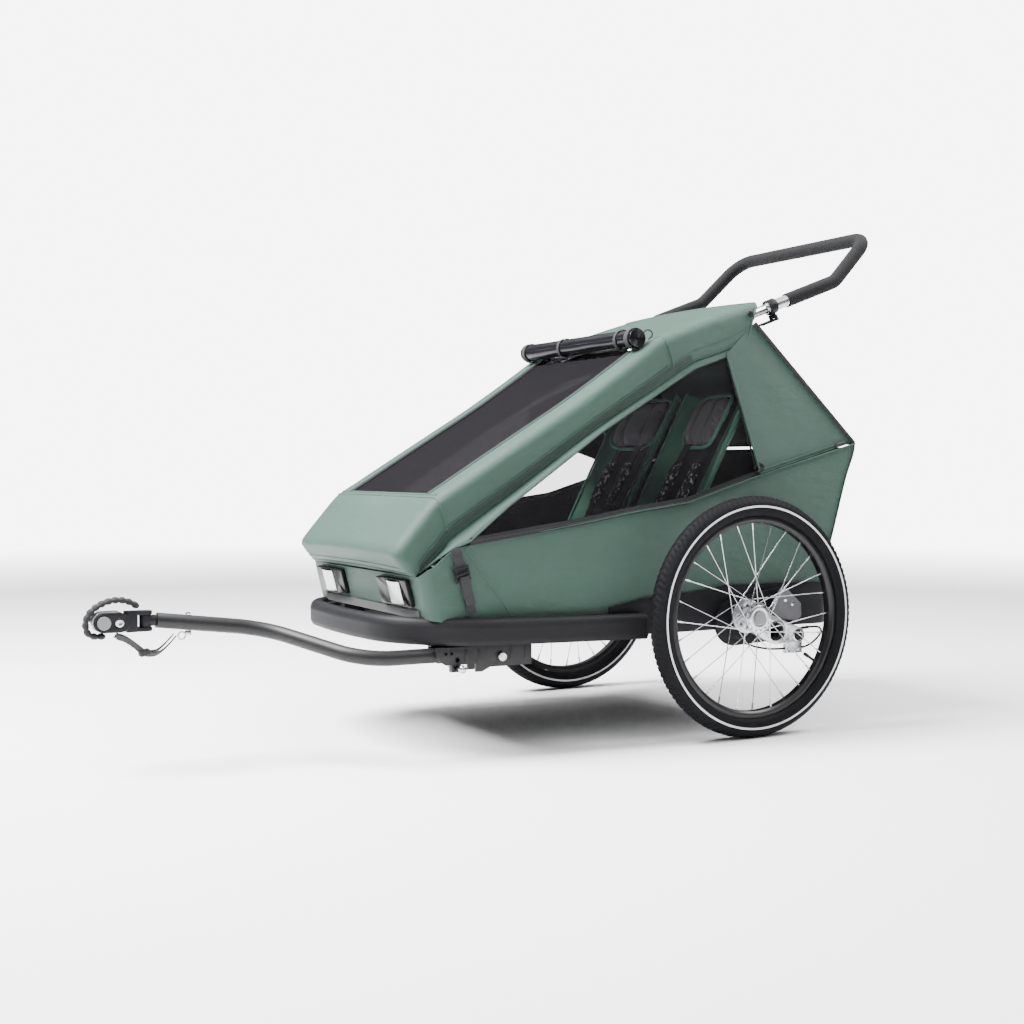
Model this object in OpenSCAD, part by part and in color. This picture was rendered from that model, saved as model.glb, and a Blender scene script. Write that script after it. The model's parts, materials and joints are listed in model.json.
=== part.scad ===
// Two-seat child trailer that hooks to a bicycle's rear axle.
// +X points forward to the hitch, +Y to the left, +Z up, and the wheels stand on z = 0.
// Inside the modules x = 0 is the wheel axle; row() moves that to the middle of the whole length.

/* [Wheels] */
// Outer diameter of the tyre
wheel_d = 500; // [400:2:560]
// Width of the tyre
tyre_w = 47; // [36:1:56]
// Distance between the two tyres' centre planes
track = 764; // [740:2:860]
// Diameter of the rim's outer edge
rim_d = 418; // [340:2:440]
// Spokes in one wheel
spoke_count = 28; // [20:4:36]
// Diameter of the quick-release axle
axle_d = 12; // [10:0.5:15]

/* [Suspension] */
// Distance of the arm's pivot behind the wheel axle
pivot_back = 142; // [125:1:160]
// Distance of the arm's pivot below the wheel axle
pivot_drop = 49; // [40:1:56]
// Diameter of the arm's pivot pin
pivot_d = 20; // [14:0.5:22]
// Thickness of the arm's plate
arm_t = 12; // [8:0.5:14]

/* [Drawbar and hitch] */
// Diameter of the drawbar tube
drawbar_d = 29; // [24:0.5:32]
// Distance of the hitch's swivel in front of the wheel axle
swivel_x = 1179; // [1100:1:1300]
// Distance of the hitch to the left of the middle
hitch_y = 80; // [60:1:120]
// Distance of the drawbar's straight end to the left of the middle
receiver_y = 280; // [262:1:282]
// Diameter of the hitch's ball socket
socket_d = 18; // [14:0.5:20]

/* [Body] */
// Outer width of the fabric body
body_w = 596; // [580:1:606]
// Outer width of the moulded bumper
bumper_w = 666; // [656:1:690]
// Height of the bumper's moulding
bumper_h = 52; // [44:1:58]
// Thickness of the fabric walls
fabric_t = 3; // [2:0.5:4]
// Outer width of the roof fabric
roof_w = 538; // [530:1:544]

/* [Frame tubes] */
// Diameter of the roof rails
rail_d = 20; // [16:0.5:22]
// Distance between the roof rails' centres
rail_gap = 504; // [496:1:508]
// Diameter of the base frame's tubes
base_d = 25; // [20:0.5:28]
// Diameter of the seat uprights
upright_d = 18; // [14:0.5:20]
// Distance between the seat uprights' centres
upright_gap = 430; // [400:1:440]

/* [Push handle] */
// Outer diameter of the handle's silver sleeves
sleeve_d = 25; // [24:0.5:30]
// Outer diameter of the foam grip
grip_d = 31; // [28:0.5:36]
// Rise of the handle's arms above the level, in degrees
handle_rise = 20.3; // [15:0.1:30]

/* [Hidden] */

$fn = 48;
gap = 0.3;              // clearance between parts on different bodies
run = 0.05;             // radial clearance of a running fit
touch = 0.02;           // clearance of parts that are fixed together

// --- shared places -------------------------------------------------------
axle_z = wheel_d / 2;
wheel_y = track / 2;
hub_in = wheel_y - 24;                  // inner face of the hub
hub_out = wheel_y + 22;                 // outer face of the hub
arm_y = hub_in - 5 - arm_t;             // inner face of the swing arm's plate
pivot = [-pivot_back, axle_z - pivot_drop];
boss = [-84, axle_z - 38];              // tubular boss seen through the arm's large hole
puck = [-115, arm_y - 16];              // x and y of the rubber spring
puck_r = 12;
puck_z = [axle_z - 24, axle_z + 12];

tyre_r = tyre_w / 2;
rim_r = rim_d / 2;
rim_w = 26;
rim_wall_r = rim_r - 15;                // radius of the rim's inner wall
hub_r = 17;
flange_r = 31;
disc_r = 36;
cap_r = 14;

fold_pin = [662, 378];                  // x and z of the roof's front hinge
rail_knee = [650, 470];
rail_peak = [140, 803];
rail_end_x = -205;
rise = tan(handle_rise);
function arm_z(x) = rail_peak.y + (rail_peak.x - x) * rise;
rail_y = rail_gap / 2;
rail_r = rail_d / 2;
seat_pin = [-95, arm_z(-95) - 8];       // x and z of the uprights' hinge
foot = [-245, 385];                     // x and z of the uprights' lower ends
upright_y = upright_gap / 2;
upright_r = upright_d / 2;

sleeve_x = [-132, -262];                // front and rear ends of the handle's sleeves
foam_x = -186;
handle_low = [-322, arm_z(-322)];
handle_top = [-432, 1081];

body_y = body_w / 2;
roof_y = roof_w / 2;
floor_z = 219;
floor_t = 3.5;
base_z = 243;
base_y = body_y - base_d / 2 - 8;
beam_r = 16;

drawbar_r = drawbar_d / 2;
drawbar_z = [273, 247, 200, 200];       // heights of the drawbar's four route points
drawbar_x = [swivel_x - 21, 950, 822, 562];
hitch_z = 273;
eye_r = 11;
head_x = [swivel_x + 31, swivel_x + 79];    // rear and front centres of the hitch's round ends
head_r = 18;
head_w = 36;
button_r = 12.5;
key_r = 8;
clamp_x = 1098;

front_x = head_x[1] + head_r + 14;      // strap in front of the hitch's nose
rear_x = handle_top.x - grip_d / 2;
mid_x = (front_x + rear_x) / 2;

// --- helpers -------------------------------------------------------------
module row() { translate([-mid_x, 0, 0]) children(); }
module both_sides() { children(); mirror([0, 1, 0]) children(); }
module on_side(s) { mirror([0, s < 0 ? 1 : 0, 0]) children(); }

// Round bar between two points
module rod(a, b, r) {
    v = b - a;
    translate(a) rotate([0, acos(v.z / norm(v)), atan2(v.y, v.x)]) cylinder(h = norm(v), r = r);
}

// Cylinder along +Y from y0 to y1, with its axis at x and z of p
module barrel(p, y0, y1, r) { translate([p.x, y1, p.y]) rotate([90, 0, 0]) cylinder(h = y1 - y0, r = r); }

// Outline in x and z, extruded along +Y from y0 to y1
module slab(y0, y1) { translate([0, y1, 0]) rotate([90, 0, 0]) linear_extrude(y1 - y0) children(); }

function unit(v) = v / norm(v);

// Arc of radius r that rounds the corner at b between a and c
function corner(a, b, c, r, n) =
    let (u = unit(a - b), w = unit(c - b), half = acos(u * w) / 2,
         centre = b + unit(u + w) * r / sin(half), reach = r / tan(half),
         s = b + u * reach - centre, e = b + w * reach - centre, turn = 180 - 2 * half)
    [for (i = [0:n]) centre + (s * sin((1 - i / n) * turn) + e * sin(i / n * turn)) / sin(turn)];

// Route through p with every inner corner rounded to radius r
function bent(p, r, n = 5) = concat(
    [p[0]], [for (i = [1:len(p) - 2]) each corner(p[i - 1], p[i], p[i + 1], r, n)], [p[len(p) - 1]]);

function heading(p, i) =
    i == 0 ? unit(p[1] - p[0]) :
    i == len(p) - 1 ? unit(p[i] - p[i - 1]) : unit(unit(p[i + 1] - p[i]) + unit(p[i] - p[i - 1]));

// Side directions along p that never twist
function sides_of(p, i = 0, last = [0, 0, 1]) =
    let (t = heading(p, i), n = unit(last - (last * t) * t))
    i == len(p) - 1 ? [n] : concat([n], sides_of(p, i + 1, n));

function ring(p, i, n, r, count) =
    let (b = cross(heading(p, i), n))
    [for (k = [0:count - 1]) p[i] + r * (cos(360 * k / count) * n + sin(360 * k / count) * b)];

// Solid round bar swept along p
module sweep(p, r, count = 20) {
    ns = sides_of(p);
    m = len(p) - 1;
    polyhedron([for (i = [0:m]) each ring(p, i, ns[i], r, count)], concat(
        [[for (k = [0:count - 1]) k]],
        [for (i = [0:m - 1]) for (k = [0:count - 1]) let (j = (k + 1) % count)
            [i * count + k, (i + 1) * count + k, (i + 1) * count + j, i * count + j]],
        [[for (k = [count - 1:-1:0]) m * count + k]]));
}

// Round tube swept along p, with outer radius r and inner radius q
module sweep_tube(p, r, q, count = 20) {
    ns = sides_of(p);
    m = len(p) - 1;
    in = (m + 1) * count;
    polyhedron(concat(
        [for (i = [0:m]) each ring(p, i, ns[i], r, count)],
        [for (i = [0:m]) each ring(p, i, ns[i], q, count)]), [
        for (k = [0:count - 1]) let (j = (k + 1) % count) each concat(
            [[k, j, in + j, in + k], [m * count + j, m * count + k, in + m * count + k, in + m * count + j]],
            [for (i = [0:m - 1]) each [
                [i * count + k, (i + 1) * count + k, (i + 1) * count + j, i * count + j],
                [in + i * count + j, in + (i + 1) * count + j, in + (i + 1) * count + k, in + i * count + k]]])]);
}

// Moulding of a constant outline of [outward, up] points, swept along a route in plan
module moulding(p, outline) {
    n = len(outline);
    m = len(p) - 1;
    polyhedron([for (i = [0:m]) let (t = heading(p, i), out = unit([t.y, -t.x, 0])) for (q = outline)
        p[i] + out * q.x + [0, 0, q.y]], concat(
        [[for (k = [n - 1:-1:0]) k]],
        [for (i = [0:m - 1]) for (k = [0:n - 1]) let (j = (k + 1) % n)
            [i * n + k, i * n + j, (i + 1) * n + j, (i + 1) * n + k]],
        [[for (k = [0:n - 1]) m * n + k]]));
}

// Flat sheet of thickness t whose outline lies in x and z, and whose outer face is at
// y = y_low at height z_low and leans in by lean for each unit of height
module leaning_sheet(outline, y_low, z_low, lean, t) {
    n = len(outline);
    function face(off) = [for (q = outline) [q.x, y_low - off - (q.y - z_low) * lean, q.y]];
    polyhedron(concat(face(0), face(t)), concat(
        [[for (k = [0:n - 1]) k]], [[for (k = [n - 1:-1:0]) n + k]],
        [for (k = [0:n - 1]) let (j = (k + 1) % n) [j, k, n + k, n + j]]));
}

// Strip of constant thickness t below a line of [x, z] points
function strip(line, t) = concat(line, [for (i = [len(line) - 1:-1:0]) line[i] - [0, t]]);

// --- base ----------------------------------------------------------------
bumper_y = bumper_w / 2 - 15;
bumper_z = 246;
bumper_route = let (half = [[225, bumper_y, 0], [640, bumper_y - 4, 0], [745, 205, 0], [762, 0, 0]])
    bent(concat([for (q = half) q], [for (i = [2:-1:0]) [half[i].x, -half[i].y, 0]]), 105, 6);
bumper_outline = let (h = bumper_h / 2)
    [[-9, -h], [-9, h - 15], [-15, h - 12], [-14, h - 4], [-8, h], [3, h], [11, h - 5], [15, h - 15], [14, 8 - h], [10, -h]];

module bumper() {
    color("#33353b") row()
        translate([0, 0, bumper_z]) moulding(
            [for (q = bumper_route) [q.x, q.y, (740 - q.x) * -0.018]], bumper_outline);
}

module base_frame() {
    color("#2a2b2e") row() {
        both_sides() rod([-238, base_y, base_z], [622, base_y, base_z], base_d / 2);
        for (x = [-225, 330, 608]) rod([x, -base_y, base_z], [x, base_y, base_z], base_d / 2 - 3);
        rod([boss.x, touch - carrier_in, boss.y], [boss.x, carrier_in - touch, boss.y], beam_r);
        both_sides() {
            slab(base_y - 10, base_y + 10) translate([boss.x - 10, boss.y]) square([20, base_z - boss.y]);
            rod([fold_pin.x, post_y, base_z], [fold_pin.x, post_y, fold_pin.y + 8], 9);
            rod([608, post_y, base_z], [fold_pin.x, post_y, base_z], 9);
            barrel(fold_pin, post_y, rail_y + rail_r + 1, 5);
            rod([-225, latch_y, base_z], [-225, latch_y, foot.y - 20], 6);
            slab(latch_y - 6, latch_y + 6) translate([foot.x - 12, foot.y - 24]) square([34, 36]);
        }
    }
}
post_y = rail_y - rail_r - 4 - 9;
latch_y = upright_y + upright_r + 9;

// The floor humps over the axle beam
module floor_pan() {
    top = floor_z + floor_t;
    hump = boss.y + beam_r + 1;
    line = [[-250, top], [boss.x - beam_r - 9, top], [boss.x - beam_r - 1, hump + floor_t],
            [boss.x + beam_r + 1, hump + floor_t], [boss.x + beam_r + 9, top], [655, top]];
    color("#202124") row()
        slab(-base_y + base_d / 2 + 0.5, base_y - base_d / 2 - 0.5) polygon(strip(line, floor_t));
}

// --- fabric body ---------------------------------------------------------
window_sill = [[613, 409], [362, 446], [244, 466], [102, 485], [-81, 541], [-321, 604]];
rear_line = [[-345, 612], [-340, 586], [-318, 530], [-284, 416], [-260, 341], [-262, 300], [-256, 262]];
front_low = [693.5, 275];
front_high = [713, 348];

module tub() {
    outline = concat([front_low, front_high, [670, 384], [644, 404]], window_sill, rear_line);
    color("#4e6e60") row() {
        both_sides() slab(body_y - fabric_t, body_y) polygon(outline);
        slab(-body_y + fabric_t, body_y - fabric_t) polygon([front_low, front_high,
            front_high - [fabric_t, 0], front_low - [fabric_t, 0]]);
    }
}

module skirt() {
    outline = [[300, floor_z - 2], [300, 276], [224, 290], [96, 299], [8, 310], [-130, 310], [-239, 308],
               [-262, 304], [-271, 292], [-272, 236], [-268, 222], [-256, floor_z - 2]];
    inner = body_y + 0.4;
    color("#1d1e21") row() {
        both_sides() slab(inner, inner + 3.5) difference() {
            polygon(outline);
            translate(boss) circle(beam_r + 0.3);
        }
        slab(-inner, inner) polygon([[-268, 222], [-272, 236], [-271, 292], [-266, 292], [-267, 236], [-263, 222]]);
    }
}

module reflector_housings() {
    color("#1b1b1e") row() both_sides() difference() {
        translate([702.6, 0, 318]) rotate([0, 15, 0]) translate([3.5, 167 - 72, -27]) cube([9, 144, 54]);
        translate([702.6, 0, 318]) rotate([0, 15, 0]) translate([6, 145, -24]) cube([20, 64, 48]);
    }
}

module reflector_lenses() {
    color("#d8dadf") row() both_sides()
        translate([702.6, 0, 318]) rotate([0, 15, 0]) translate([6 + touch, 146, -23]) cube([8, 62, 46]);
}

// Back wall and floor shelf of the luggage bay
module rear_bag() {
    back = concat([[-343.5, 604]], [for (i = [1:len(rear_line) - 1]) rear_line[i]]);
    inner = [for (i = [len(back) - 1:-1:0]) back[i] + [fabric_t, 0]];
    color("#45645a") row() slab(-body_y + fabric_t + 0.5, body_y - fabric_t - 0.5) polygon(concat(back, inner));
}

module rear_cover() {
    pillar = [[-8, 800], [-64, 826], [-88, 868], [-345, 613], [-321, 607], [-81, 544]];
    color("#6b8a7c") row() {
        both_sides() leaning_sheet(pillar, body_y, 560, 0.095, fabric_t);
        slab(-roof_y + 8, roof_y - 8) polygon([[-132, 822.5], [-345, 612], [-345, 607], [-129, 818.5]]);
    }
}

module windows() {
    outline = [[610, 416], [362, 449], [244, 469], [102, 488], [-81, 544], [-12, 794], [75, 764],
               [172, 707], [302, 632], [529, 480]];
    color("#26272b") row() both_sides() leaning_sheet(outline, body_y - 1, 440, 0.076, 1.5);
}

module side_straps() {
    color("#17171a") row() both_sides() {
        slab(body_y + 0.5, body_y + 2.5) polygon([[651, 398], [631, 398], [598, 277], [618, 277]]);
        slab(body_y + 2.6, body_y + 8) polygon([[644, 376], [618, 376], [611, 348], [637, 348]]);
    }
}

// --- seats ---------------------------------------------------------------
seat_y = [18, 252];
back_line = [[-112, 716], [-46, 603], [106, 340]];
module seats() {
    outline = concat(back_line, [[390, 352], [394, 340], [98, 322], [-60, 596], [-124, 710]]);
    color("#2f5e4c") row() both_sides() slab(seat_y[0], seat_y[1]) polygon(outline);
}

module headrests() {
    color("#3a393d") row() both_sides() slab(55, 215)
        polygon([[-111, 716], [-46, 604.9], [-33, 612], [-95, 722]]);
}

module harnesses() {
    color("#121214") row() both_sides() for (y = [88, 164])
        slab(y, y + 24) polygon([[-43, 600], [104, 346], [114, 352], [-35, 605]]);
}

// --- suspension ----------------------------------------------------------
carrier_in = body_y + 6;
carrier_out = arm_y - 4;
module carriers() {
    top = axle_z + 13;
    color("#202226") row() both_sides() {
        slab(carrier_in, carrier_in + 7) hull() {
            translate([-8, axle_z - 18]) circle(50);
            translate([pivot.x + 4, pivot.y + 8]) circle(20);
            translate([-120, axle_z + 20]) circle(30);
        }
        difference() {
            barrel(boss, carrier_in + 7, carrier_out, 18);
            barrel(boss, carrier_in + 9, carrier_out + 1, 14);
        }
        barrel(pivot, carrier_in + 7, arm_y - gap, 14);
        barrel(pivot, carrier_in + 7, arm_y + arm_t + 2, pivot_d / 2);
        slab(carrier_in + 7, carrier_out) translate([-138, top]) square([46, 22]);
    }
}

module carrier_covers() {
    c = [-120, axle_z + 18];
    color("#6a6b70") row() both_sides() slab(carrier_out, carrier_out + 2.4) difference() {
        hull() {
            translate(c + [12, -6]) circle(26);
            translate(c + [6, 26]) circle(11);
            translate(c + [-34, -4]) circle(7);
            translate(c + [-28, -22]) circle(14);
        }
        for (q = cover_bolt_places) translate(q) circle(3);
    }
}
cover_bolt_places = [[-118, axle_z + 27], [-137, axle_z + 17]];

module cover_bolts() {
    color("#c9ccd0") row() both_sides() for (q = cover_bolt_places) {
        barrel(q, carrier_out + touch, carrier_out + 2.4, 2.9);
        barrel(q, carrier_out + 2.4 + touch, carrier_out + 3.6, 4.5);
    }
}

module elastomer(s) {
    color("#151517") row() on_side(s)
        translate([puck.x, puck.y, puck_z[0] + gap]) cylinder(h = puck_z[1] - puck_z[0] - 2 * gap, r = puck_r);
}
module elastomer_left() { elastomer(1); }
module elastomer_right() { elastomer(-1); }

module swing_arm(s) {
    color("#c3c6ca") row() on_side(s) {
        difference() {
            union() {
                slab(arm_y, arm_y + arm_t) hull() {
                    translate([0, axle_z]) circle(24);
                    translate(boss) circle(27);
                    translate(pivot) circle(17);
                }
                barrel([0, axle_z], arm_y + arm_t - 1, hub_in - 1.5, axle_d / 2 + 3);
            }
            barrel(boss, arm_y - 1, arm_y + arm_t + 1, 20);
            barrel(pivot, arm_y - 1, arm_y + arm_t + 1, pivot_d / 2 + run);
            barrel([0, axle_z], arm_y - 1, hub_in, axle_d / 2 + touch);
            slab(arm_y + arm_t - 3, arm_y + arm_t + 1) translate(pivot) polygon([[24, -8], [36, -14], [36, 14], [24, 16]]);
        }
        slab(puck.y - 11, arm_y) translate([puck.x - 9, axle_z - 41]) square([18, 10]);
        slab(puck.y - 11, puck.y + 11) translate([puck.x - 9, axle_z - 31]) square([18, 31 - 24]);
        difference() {
            slab(arm_y + 1.5, arm_y + arm_t - 1.5) translate([-154, axle_z - 86]) square([44, 23]);
            rod([-160, arm_y + arm_t / 2, cable_z], [-100, arm_y + arm_t / 2, cable_z], 2.7);
        }
    }
}
module swing_arm_left() { swing_arm(1); }
module swing_arm_right() { swing_arm(-1); }

cable_z = axle_z - 76;
cable_r = 2.2;
module brake_cable(s) {
    y = arm_y + arm_t / 2;
    route = [[20, 326, 208], [2, 329, 200], [-20, 333, 188], [-48, 337, 179], [-76, y, 175], [-106, y, cable_z],
             [-132, y, cable_z], [-158, y, cable_z], [-180, y, 180], [-202, y - 3, 192], [-216, 340, 204],
             [-214, 334, 213], [-198, 328, 214], [-180, 322, 212], [-164, 316, 210]];
    color("#101012") row() on_side(s) sweep(route, cable_r, 8);
}
module brake_cable_left() { brake_cable(1); }
module brake_cable_right() { brake_cable(-1); }

// --- wheels --------------------------------------------------------------
// Turned part about the wheel's axle: x of the outline is the radius, y runs outwards
module turned(s) {
    on_side(s) translate([0, wheel_y, axle_z]) rotate([-90, 0, 0]) rotate_extrude($fn = 96) children();
}

module axle(s) {
    color("#b9bcc0") row() on_side(s) {
        barrel([0, axle_z], arm_y - 3, hub_out - 8, axle_d / 2);
        barrel([0, axle_z], arm_y - 6, arm_y - 3, axle_d / 2 + 4);
    }
}
module axle_left() { axle(1); }
module axle_right() { axle(-1); }

module release_cap(s) {
    color("#77797d") row() on_side(s) barrel([0, axle_z], hub_out - 3, hub_out + 3.5, cap_r);
}
module release_cap_left() { release_cap(1); }
module release_cap_right() { release_cap(-1); }

module tyre(s) {
    centre = wheel_d / 2 - tyre_r;
    color("#1c1c1f") row() turned(s) difference() {
        translate([centre, 0]) circle(tyre_r);
        translate([centre, 0]) circle(tyre_r - 4);
        translate([0, -tyre_w]) square([rim_r + touch, 2 * tyre_w]);
    }
}
module tyre_left() { tyre(1); }
module tyre_right() { tyre(-1); }

module rim(s) {
    w = rim_w / 2;
    color("#17181a") row() turned(s) polygon([[rim_wall_r, -w + 5], [rim_wall_r + 6, -w], [rim_r, -w], [rim_r, -w + 2],
        [rim_wall_r + 9, -w + 2], [rim_wall_r + 7, 0], [rim_wall_r + 9, w - 2], [rim_r, w - 2], [rim_r, w],
        [rim_wall_r + 6, w], [rim_wall_r, w - 5]]);
}
module rim_left() { rim(1); }
module rim_right() { rim(-1); }

// Every second spoke goes to the inner disc; on each flange neighbours lean opposite ways
module spokes(s) {
    cross_turn = 54;
    reach = rim_wall_r - 0.8;
    color("#d5d7da") row() on_side(s) translate([0, wheel_y, axle_z]) for (i = [0:spoke_count - 1]) {
        a = 360 * i / spoke_count;
        lean = (floor(i / 2) % 2 == 0 ? 1 : -1);
        side = (i % 2 == 0 ? 1 : -1);
        start = (side > 0 ? flange_r : disc_r) + 1.3;
        h = a - lean * cross_turn;
        inner = [start * cos(h), (side > 0 ? hub_out - 6 : hub_in + 2) - wheel_y + lean * 1.2, start * sin(h)];
        outer = [reach * cos(a), side * 3 + lean * 1.15, reach * sin(a)];
        rod(inner, outer, 1);
        rod(outer - 14 * unit(outer - inner), outer, 2);
    }
}
module spokes_left() { spokes(1); }
module spokes_right() { spokes(-1); }

module hub(s) {
    color("#c9ccd0") row() difference() {
        union() {
            on_side(s) barrel([0, axle_z], hub_in, hub_out, hub_r);
            on_side(s) barrel([0, axle_z], hub_in, hub_in + 4, disc_r);
            on_side(s) barrel([0, axle_z], hub_out - 8, hub_out - 4, flange_r);
            on_side(s) barrel([0, axle_z], hub_out - 4, hub_out, 20);
        }
        on_side(s) barrel([0, axle_z], hub_in - 1, hub_out - 7, bearing_r + touch);
        on_side(s) barrel([0, axle_z], hub_out - 7, hub_out + 1, cap_r + gap);
        for (k = [0:7]) on_side(s) translate([0, 0, axle_z]) rotate([0, k * 45, 0])
            barrel([22, 0], hub_in - 1, hub_in + 5, 3.6);
    }
}
bearing_r = 12.5;
module hub_left() { hub(1); }
module hub_right() { hub(-1); }

module bearings(s) {
    color("#8f9296") row() on_side(s) for (y = [hub_in + 1, hub_out - 16]) difference() {
        barrel([0, axle_z], y, y + 8, bearing_r);
        barrel([0, axle_z], y - 1, y + 9, axle_d / 2 + run);
    }
}
module bearings_left() { bearings(1); }
module bearings_right() { bearings(-1); }

// --- drawbar -------------------------------------------------------------
drawbar_route = bent([[drawbar_x[0], hitch_y, drawbar_z[0]], [drawbar_x[1], hitch_y, drawbar_z[1]],
    [drawbar_x[2], receiver_y, drawbar_z[2]], [drawbar_x[3], receiver_y, drawbar_z[3]]], 110, 8);
pin = [635, drawbar_z[3] - drawbar_r - 11];
pin_r = 4;

module drawbar() {
    color("#3a3b41") row() {
        sweep(drawbar_route, drawbar_r, 24);
        slab(receiver_y - 6, receiver_y + 6) difference() {
            translate([pin.x - 10, pin.y - 9]) square([20, drawbar_z[3] - pin.y]);
            translate(pin) circle(pin_r + gap);
        }
    }
}

module drawbar_eye() {
    color("#232427") row() difference() {
        union() {
            rod([drawbar_x[0] + 2, hitch_y, hitch_z], [swivel_x - 4, hitch_y, hitch_z], eye_r - 0.5);
            translate([swivel_x, hitch_y, hitch_z - 11]) cylinder(h = 22, r = eye_r);
        }
        translate([swivel_x, hitch_y, hitch_z - 12]) cylinder(h = 24, r = 5 + run);
    }
}

// Silver clamp on the tube that holds the safety strap's ring
module strap_clamp() {
    z = drawbar_z[0] - (drawbar_x[0] - clamp_x) * (drawbar_z[0] - drawbar_z[1]) / (drawbar_x[0] - drawbar_x[1]);
    color("#c9ccd0") row() {
        translate([clamp_x, hitch_y, z + drawbar_r + 1]) cylinder(h = 3.5, r = 5);
        translate([clamp_x, hitch_y, z - drawbar_r - 9.2]) cylinder(h = 8, r = 6);
        translate([clamp_x + 12, hitch_y, z - drawbar_r - 10]) rotate([90, 0, 0]) rotate_extrude()
            translate([7, 0]) circle(1.5, $fn = 16);
    }
}

safety_route = [[1232, 80, 249], [1215, 80, 240], [1196, 80, 226], [1180, 80, 213], [1160, 80, 212],
                [1144, 80, 222], [1126, 80, 240]];
module safety_strap() {
    color("#141416") row() sweep([for (q = safety_route) q + [swivel_x - 1179, hitch_y - 80, 0]], 4, 8);
}

module lock_pin() {
    color("#d0d2d6") row() {
        barrel(pin, receiver_y - 26, receiver_y + 30, pin_r);
        translate([pin.x, receiver_y + 33, pin.y]) sphere(8);
    }
}

// Channel under the floor that the drawbar slides into, with the bolt that holds it
module receiver() {
    in = receiver_in;
    out = in + 6;
    top = drawbar_z[3] + drawbar_r + 1.2;
    low = drawbar_z[3] - drawbar_r - 4;
    cheek = [[683, top], [683, low + 14], [664, low], [600, low], [600, low - 16], [586, low - 16], [570, low - 8],
             [478, low - 8], [478, top]];
    color("#1a1b1d") row() {
        difference() {
            for (y = [receiver_y - out, receiver_y + in]) slab(y, y + 6) polygon(cheek);
            barrel(bolt, receiver_y - out - 1, receiver_y + out + 1, 5 + touch);
        }
        slab(receiver_y - out, receiver_y + out) translate([478, top]) square([112, floor_z - top - 0.5]);
        slab(receiver_y - out, receiver_y - 5) translate([589, top]) square([94, floor_z - top - 0.5]);
        slab(base_y - 10, base_y + 10) translate([500, top]) square([110, base_z - base_d / 2 - touch - top]);
        for (x = [488, 520, 590, 618]) slab(receiver_y + out, receiver_y + out + 1.5)
            translate([x, low + 4]) square([6, 24]);
    }
}
bolt = [545, 193];
receiver_in = drawbar_r + 0.5;

module receiver_bolt() {
    out = receiver_in + 6 + touch;
    color("#c9ccd0") row() {
        barrel(bolt, receiver_y - out, receiver_y + out, 5);
        barrel(bolt, receiver_y + out, receiver_y + out + 6, 9);
        barrel(bolt, receiver_y - out - 6, receiver_y - out, 8);
    }
}

// --- hitch ---------------------------------------------------------------
module head_outline(grow) {
    hull() {
        translate([head_x[0] + head_r, hitch_z]) circle(head_r + grow);
        translate([head_x[1], hitch_z]) circle(head_r + grow);
    }
}

module hitch_head() {
    y0 = hitch_y - head_w / 2;
    y1 = hitch_y + head_w / 2;
    color("#1d1e21") row() difference() {
        union() {
            slab(y0, y1) head_outline(0);
            translate([head_x[0] - 14, y0 + 2, hitch_z - 19]) cube([20, head_w - 4, 38]);
            for (z = [hitch_z - 19, hitch_z + 12]) hull() {
                translate([swivel_x, hitch_y, z]) cylinder(h = 7, r = 13, $fn = 32);
                translate([head_x[0] - 12, hitch_y - 14, z]) cube([2, 28, 7]);
            }
            translate([swivel_x, hitch_y, hitch_z - 13]) cylinder(h = 26, r = 5);
        }
        barrel([head_x[1], hitch_z], y1 - 7, y1 + 1, button_r + gap);
        barrel([head_x[1], hitch_z], y0 - 1, y0 + 24, socket_d / 2);
        barrel([head_x[0] + 20, hitch_z], y1 - 9, y1 + 1, key_r + run);
    }
}

// Silver shell round the nose
module hitch_shell() {
    color("#b4b7bc") row() slab(hitch_y - 14, hitch_y + 12) difference() {
        head_outline(2.6);
        head_outline(touch);
        translate([head_x[0] - 40, hitch_z - 60]) square([60, 120]);
        translate([head_x[0] - 40, hitch_z - 60]) square([200, 52]);
    }
}

strap_route = [[1254, 80, 250], [1272, 80, 250.5], [1282, 80, 256], [1285.5, 80, 272], [1279, 80, 289], [1264, 80, 302],
               [1244, 80, 310], [1224, 80, 311], [1206, 80, 306], [1194, 80, 298]];
module hitch_strap() {
    color("#121214") row() sweep([for (q = strap_route) q + [swivel_x - 1179, hitch_y - 80, 0]], 4.5, 10);
}

module hitch_button() {
    y1 = hitch_y + head_w / 2;
    color("#7d7e83") row() barrel([head_x[1], hitch_z], y1 - 2.5, y1 + 2.5, button_r);
}

module hitch_key() {
    y1 = hitch_y + head_w / 2;
    color("#c9ccd0") row() difference() {
        barrel([head_x[0] + 20, hitch_z], y1 - 8, y1 + 1.5, key_r);
        slab(y1, y1 + 2) translate([head_x[0] + 19, hitch_z - 4]) square([2, 8]);
    }
}

// --- roof ----------------------------------------------------------------
rail_route = bent([[fold_pin.x, rail_y, fold_pin.y + 6], [rail_knee.x, rail_y, rail_knee.y],
    [rail_peak.x, rail_y, rail_peak.y], [rail_end_x, rail_y, arm_z(rail_end_x)]], 60, 5);

module roof_frame() {
    color("#b9bcc1") row() {
        both_sides() {
            sweep(rail_route, rail_r, 24);
            difference() {
                barrel(fold_pin, rail_y - rail_r + gap, rail_y + rail_r - gap, 13);
                barrel(fold_pin, rail_y - rail_r - 1, rail_y + rail_r + 1, 5 + run);
            }
        }
        rod([rail_knee.x - 4, -rail_y, rail_knee.y - 4], [rail_knee.x - 4, rail_y, rail_knee.y - 4], 7);
        rod([rail_peak.x + 6, -rail_y, rail_peak.y - 6], [rail_peak.x + 6, rail_y, rail_peak.y - 6], 7);
        rod([seat_pin.x, -rail_y, seat_pin.y], [seat_pin.x, rail_y, seat_pin.y], 6);
    }
}

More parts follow.
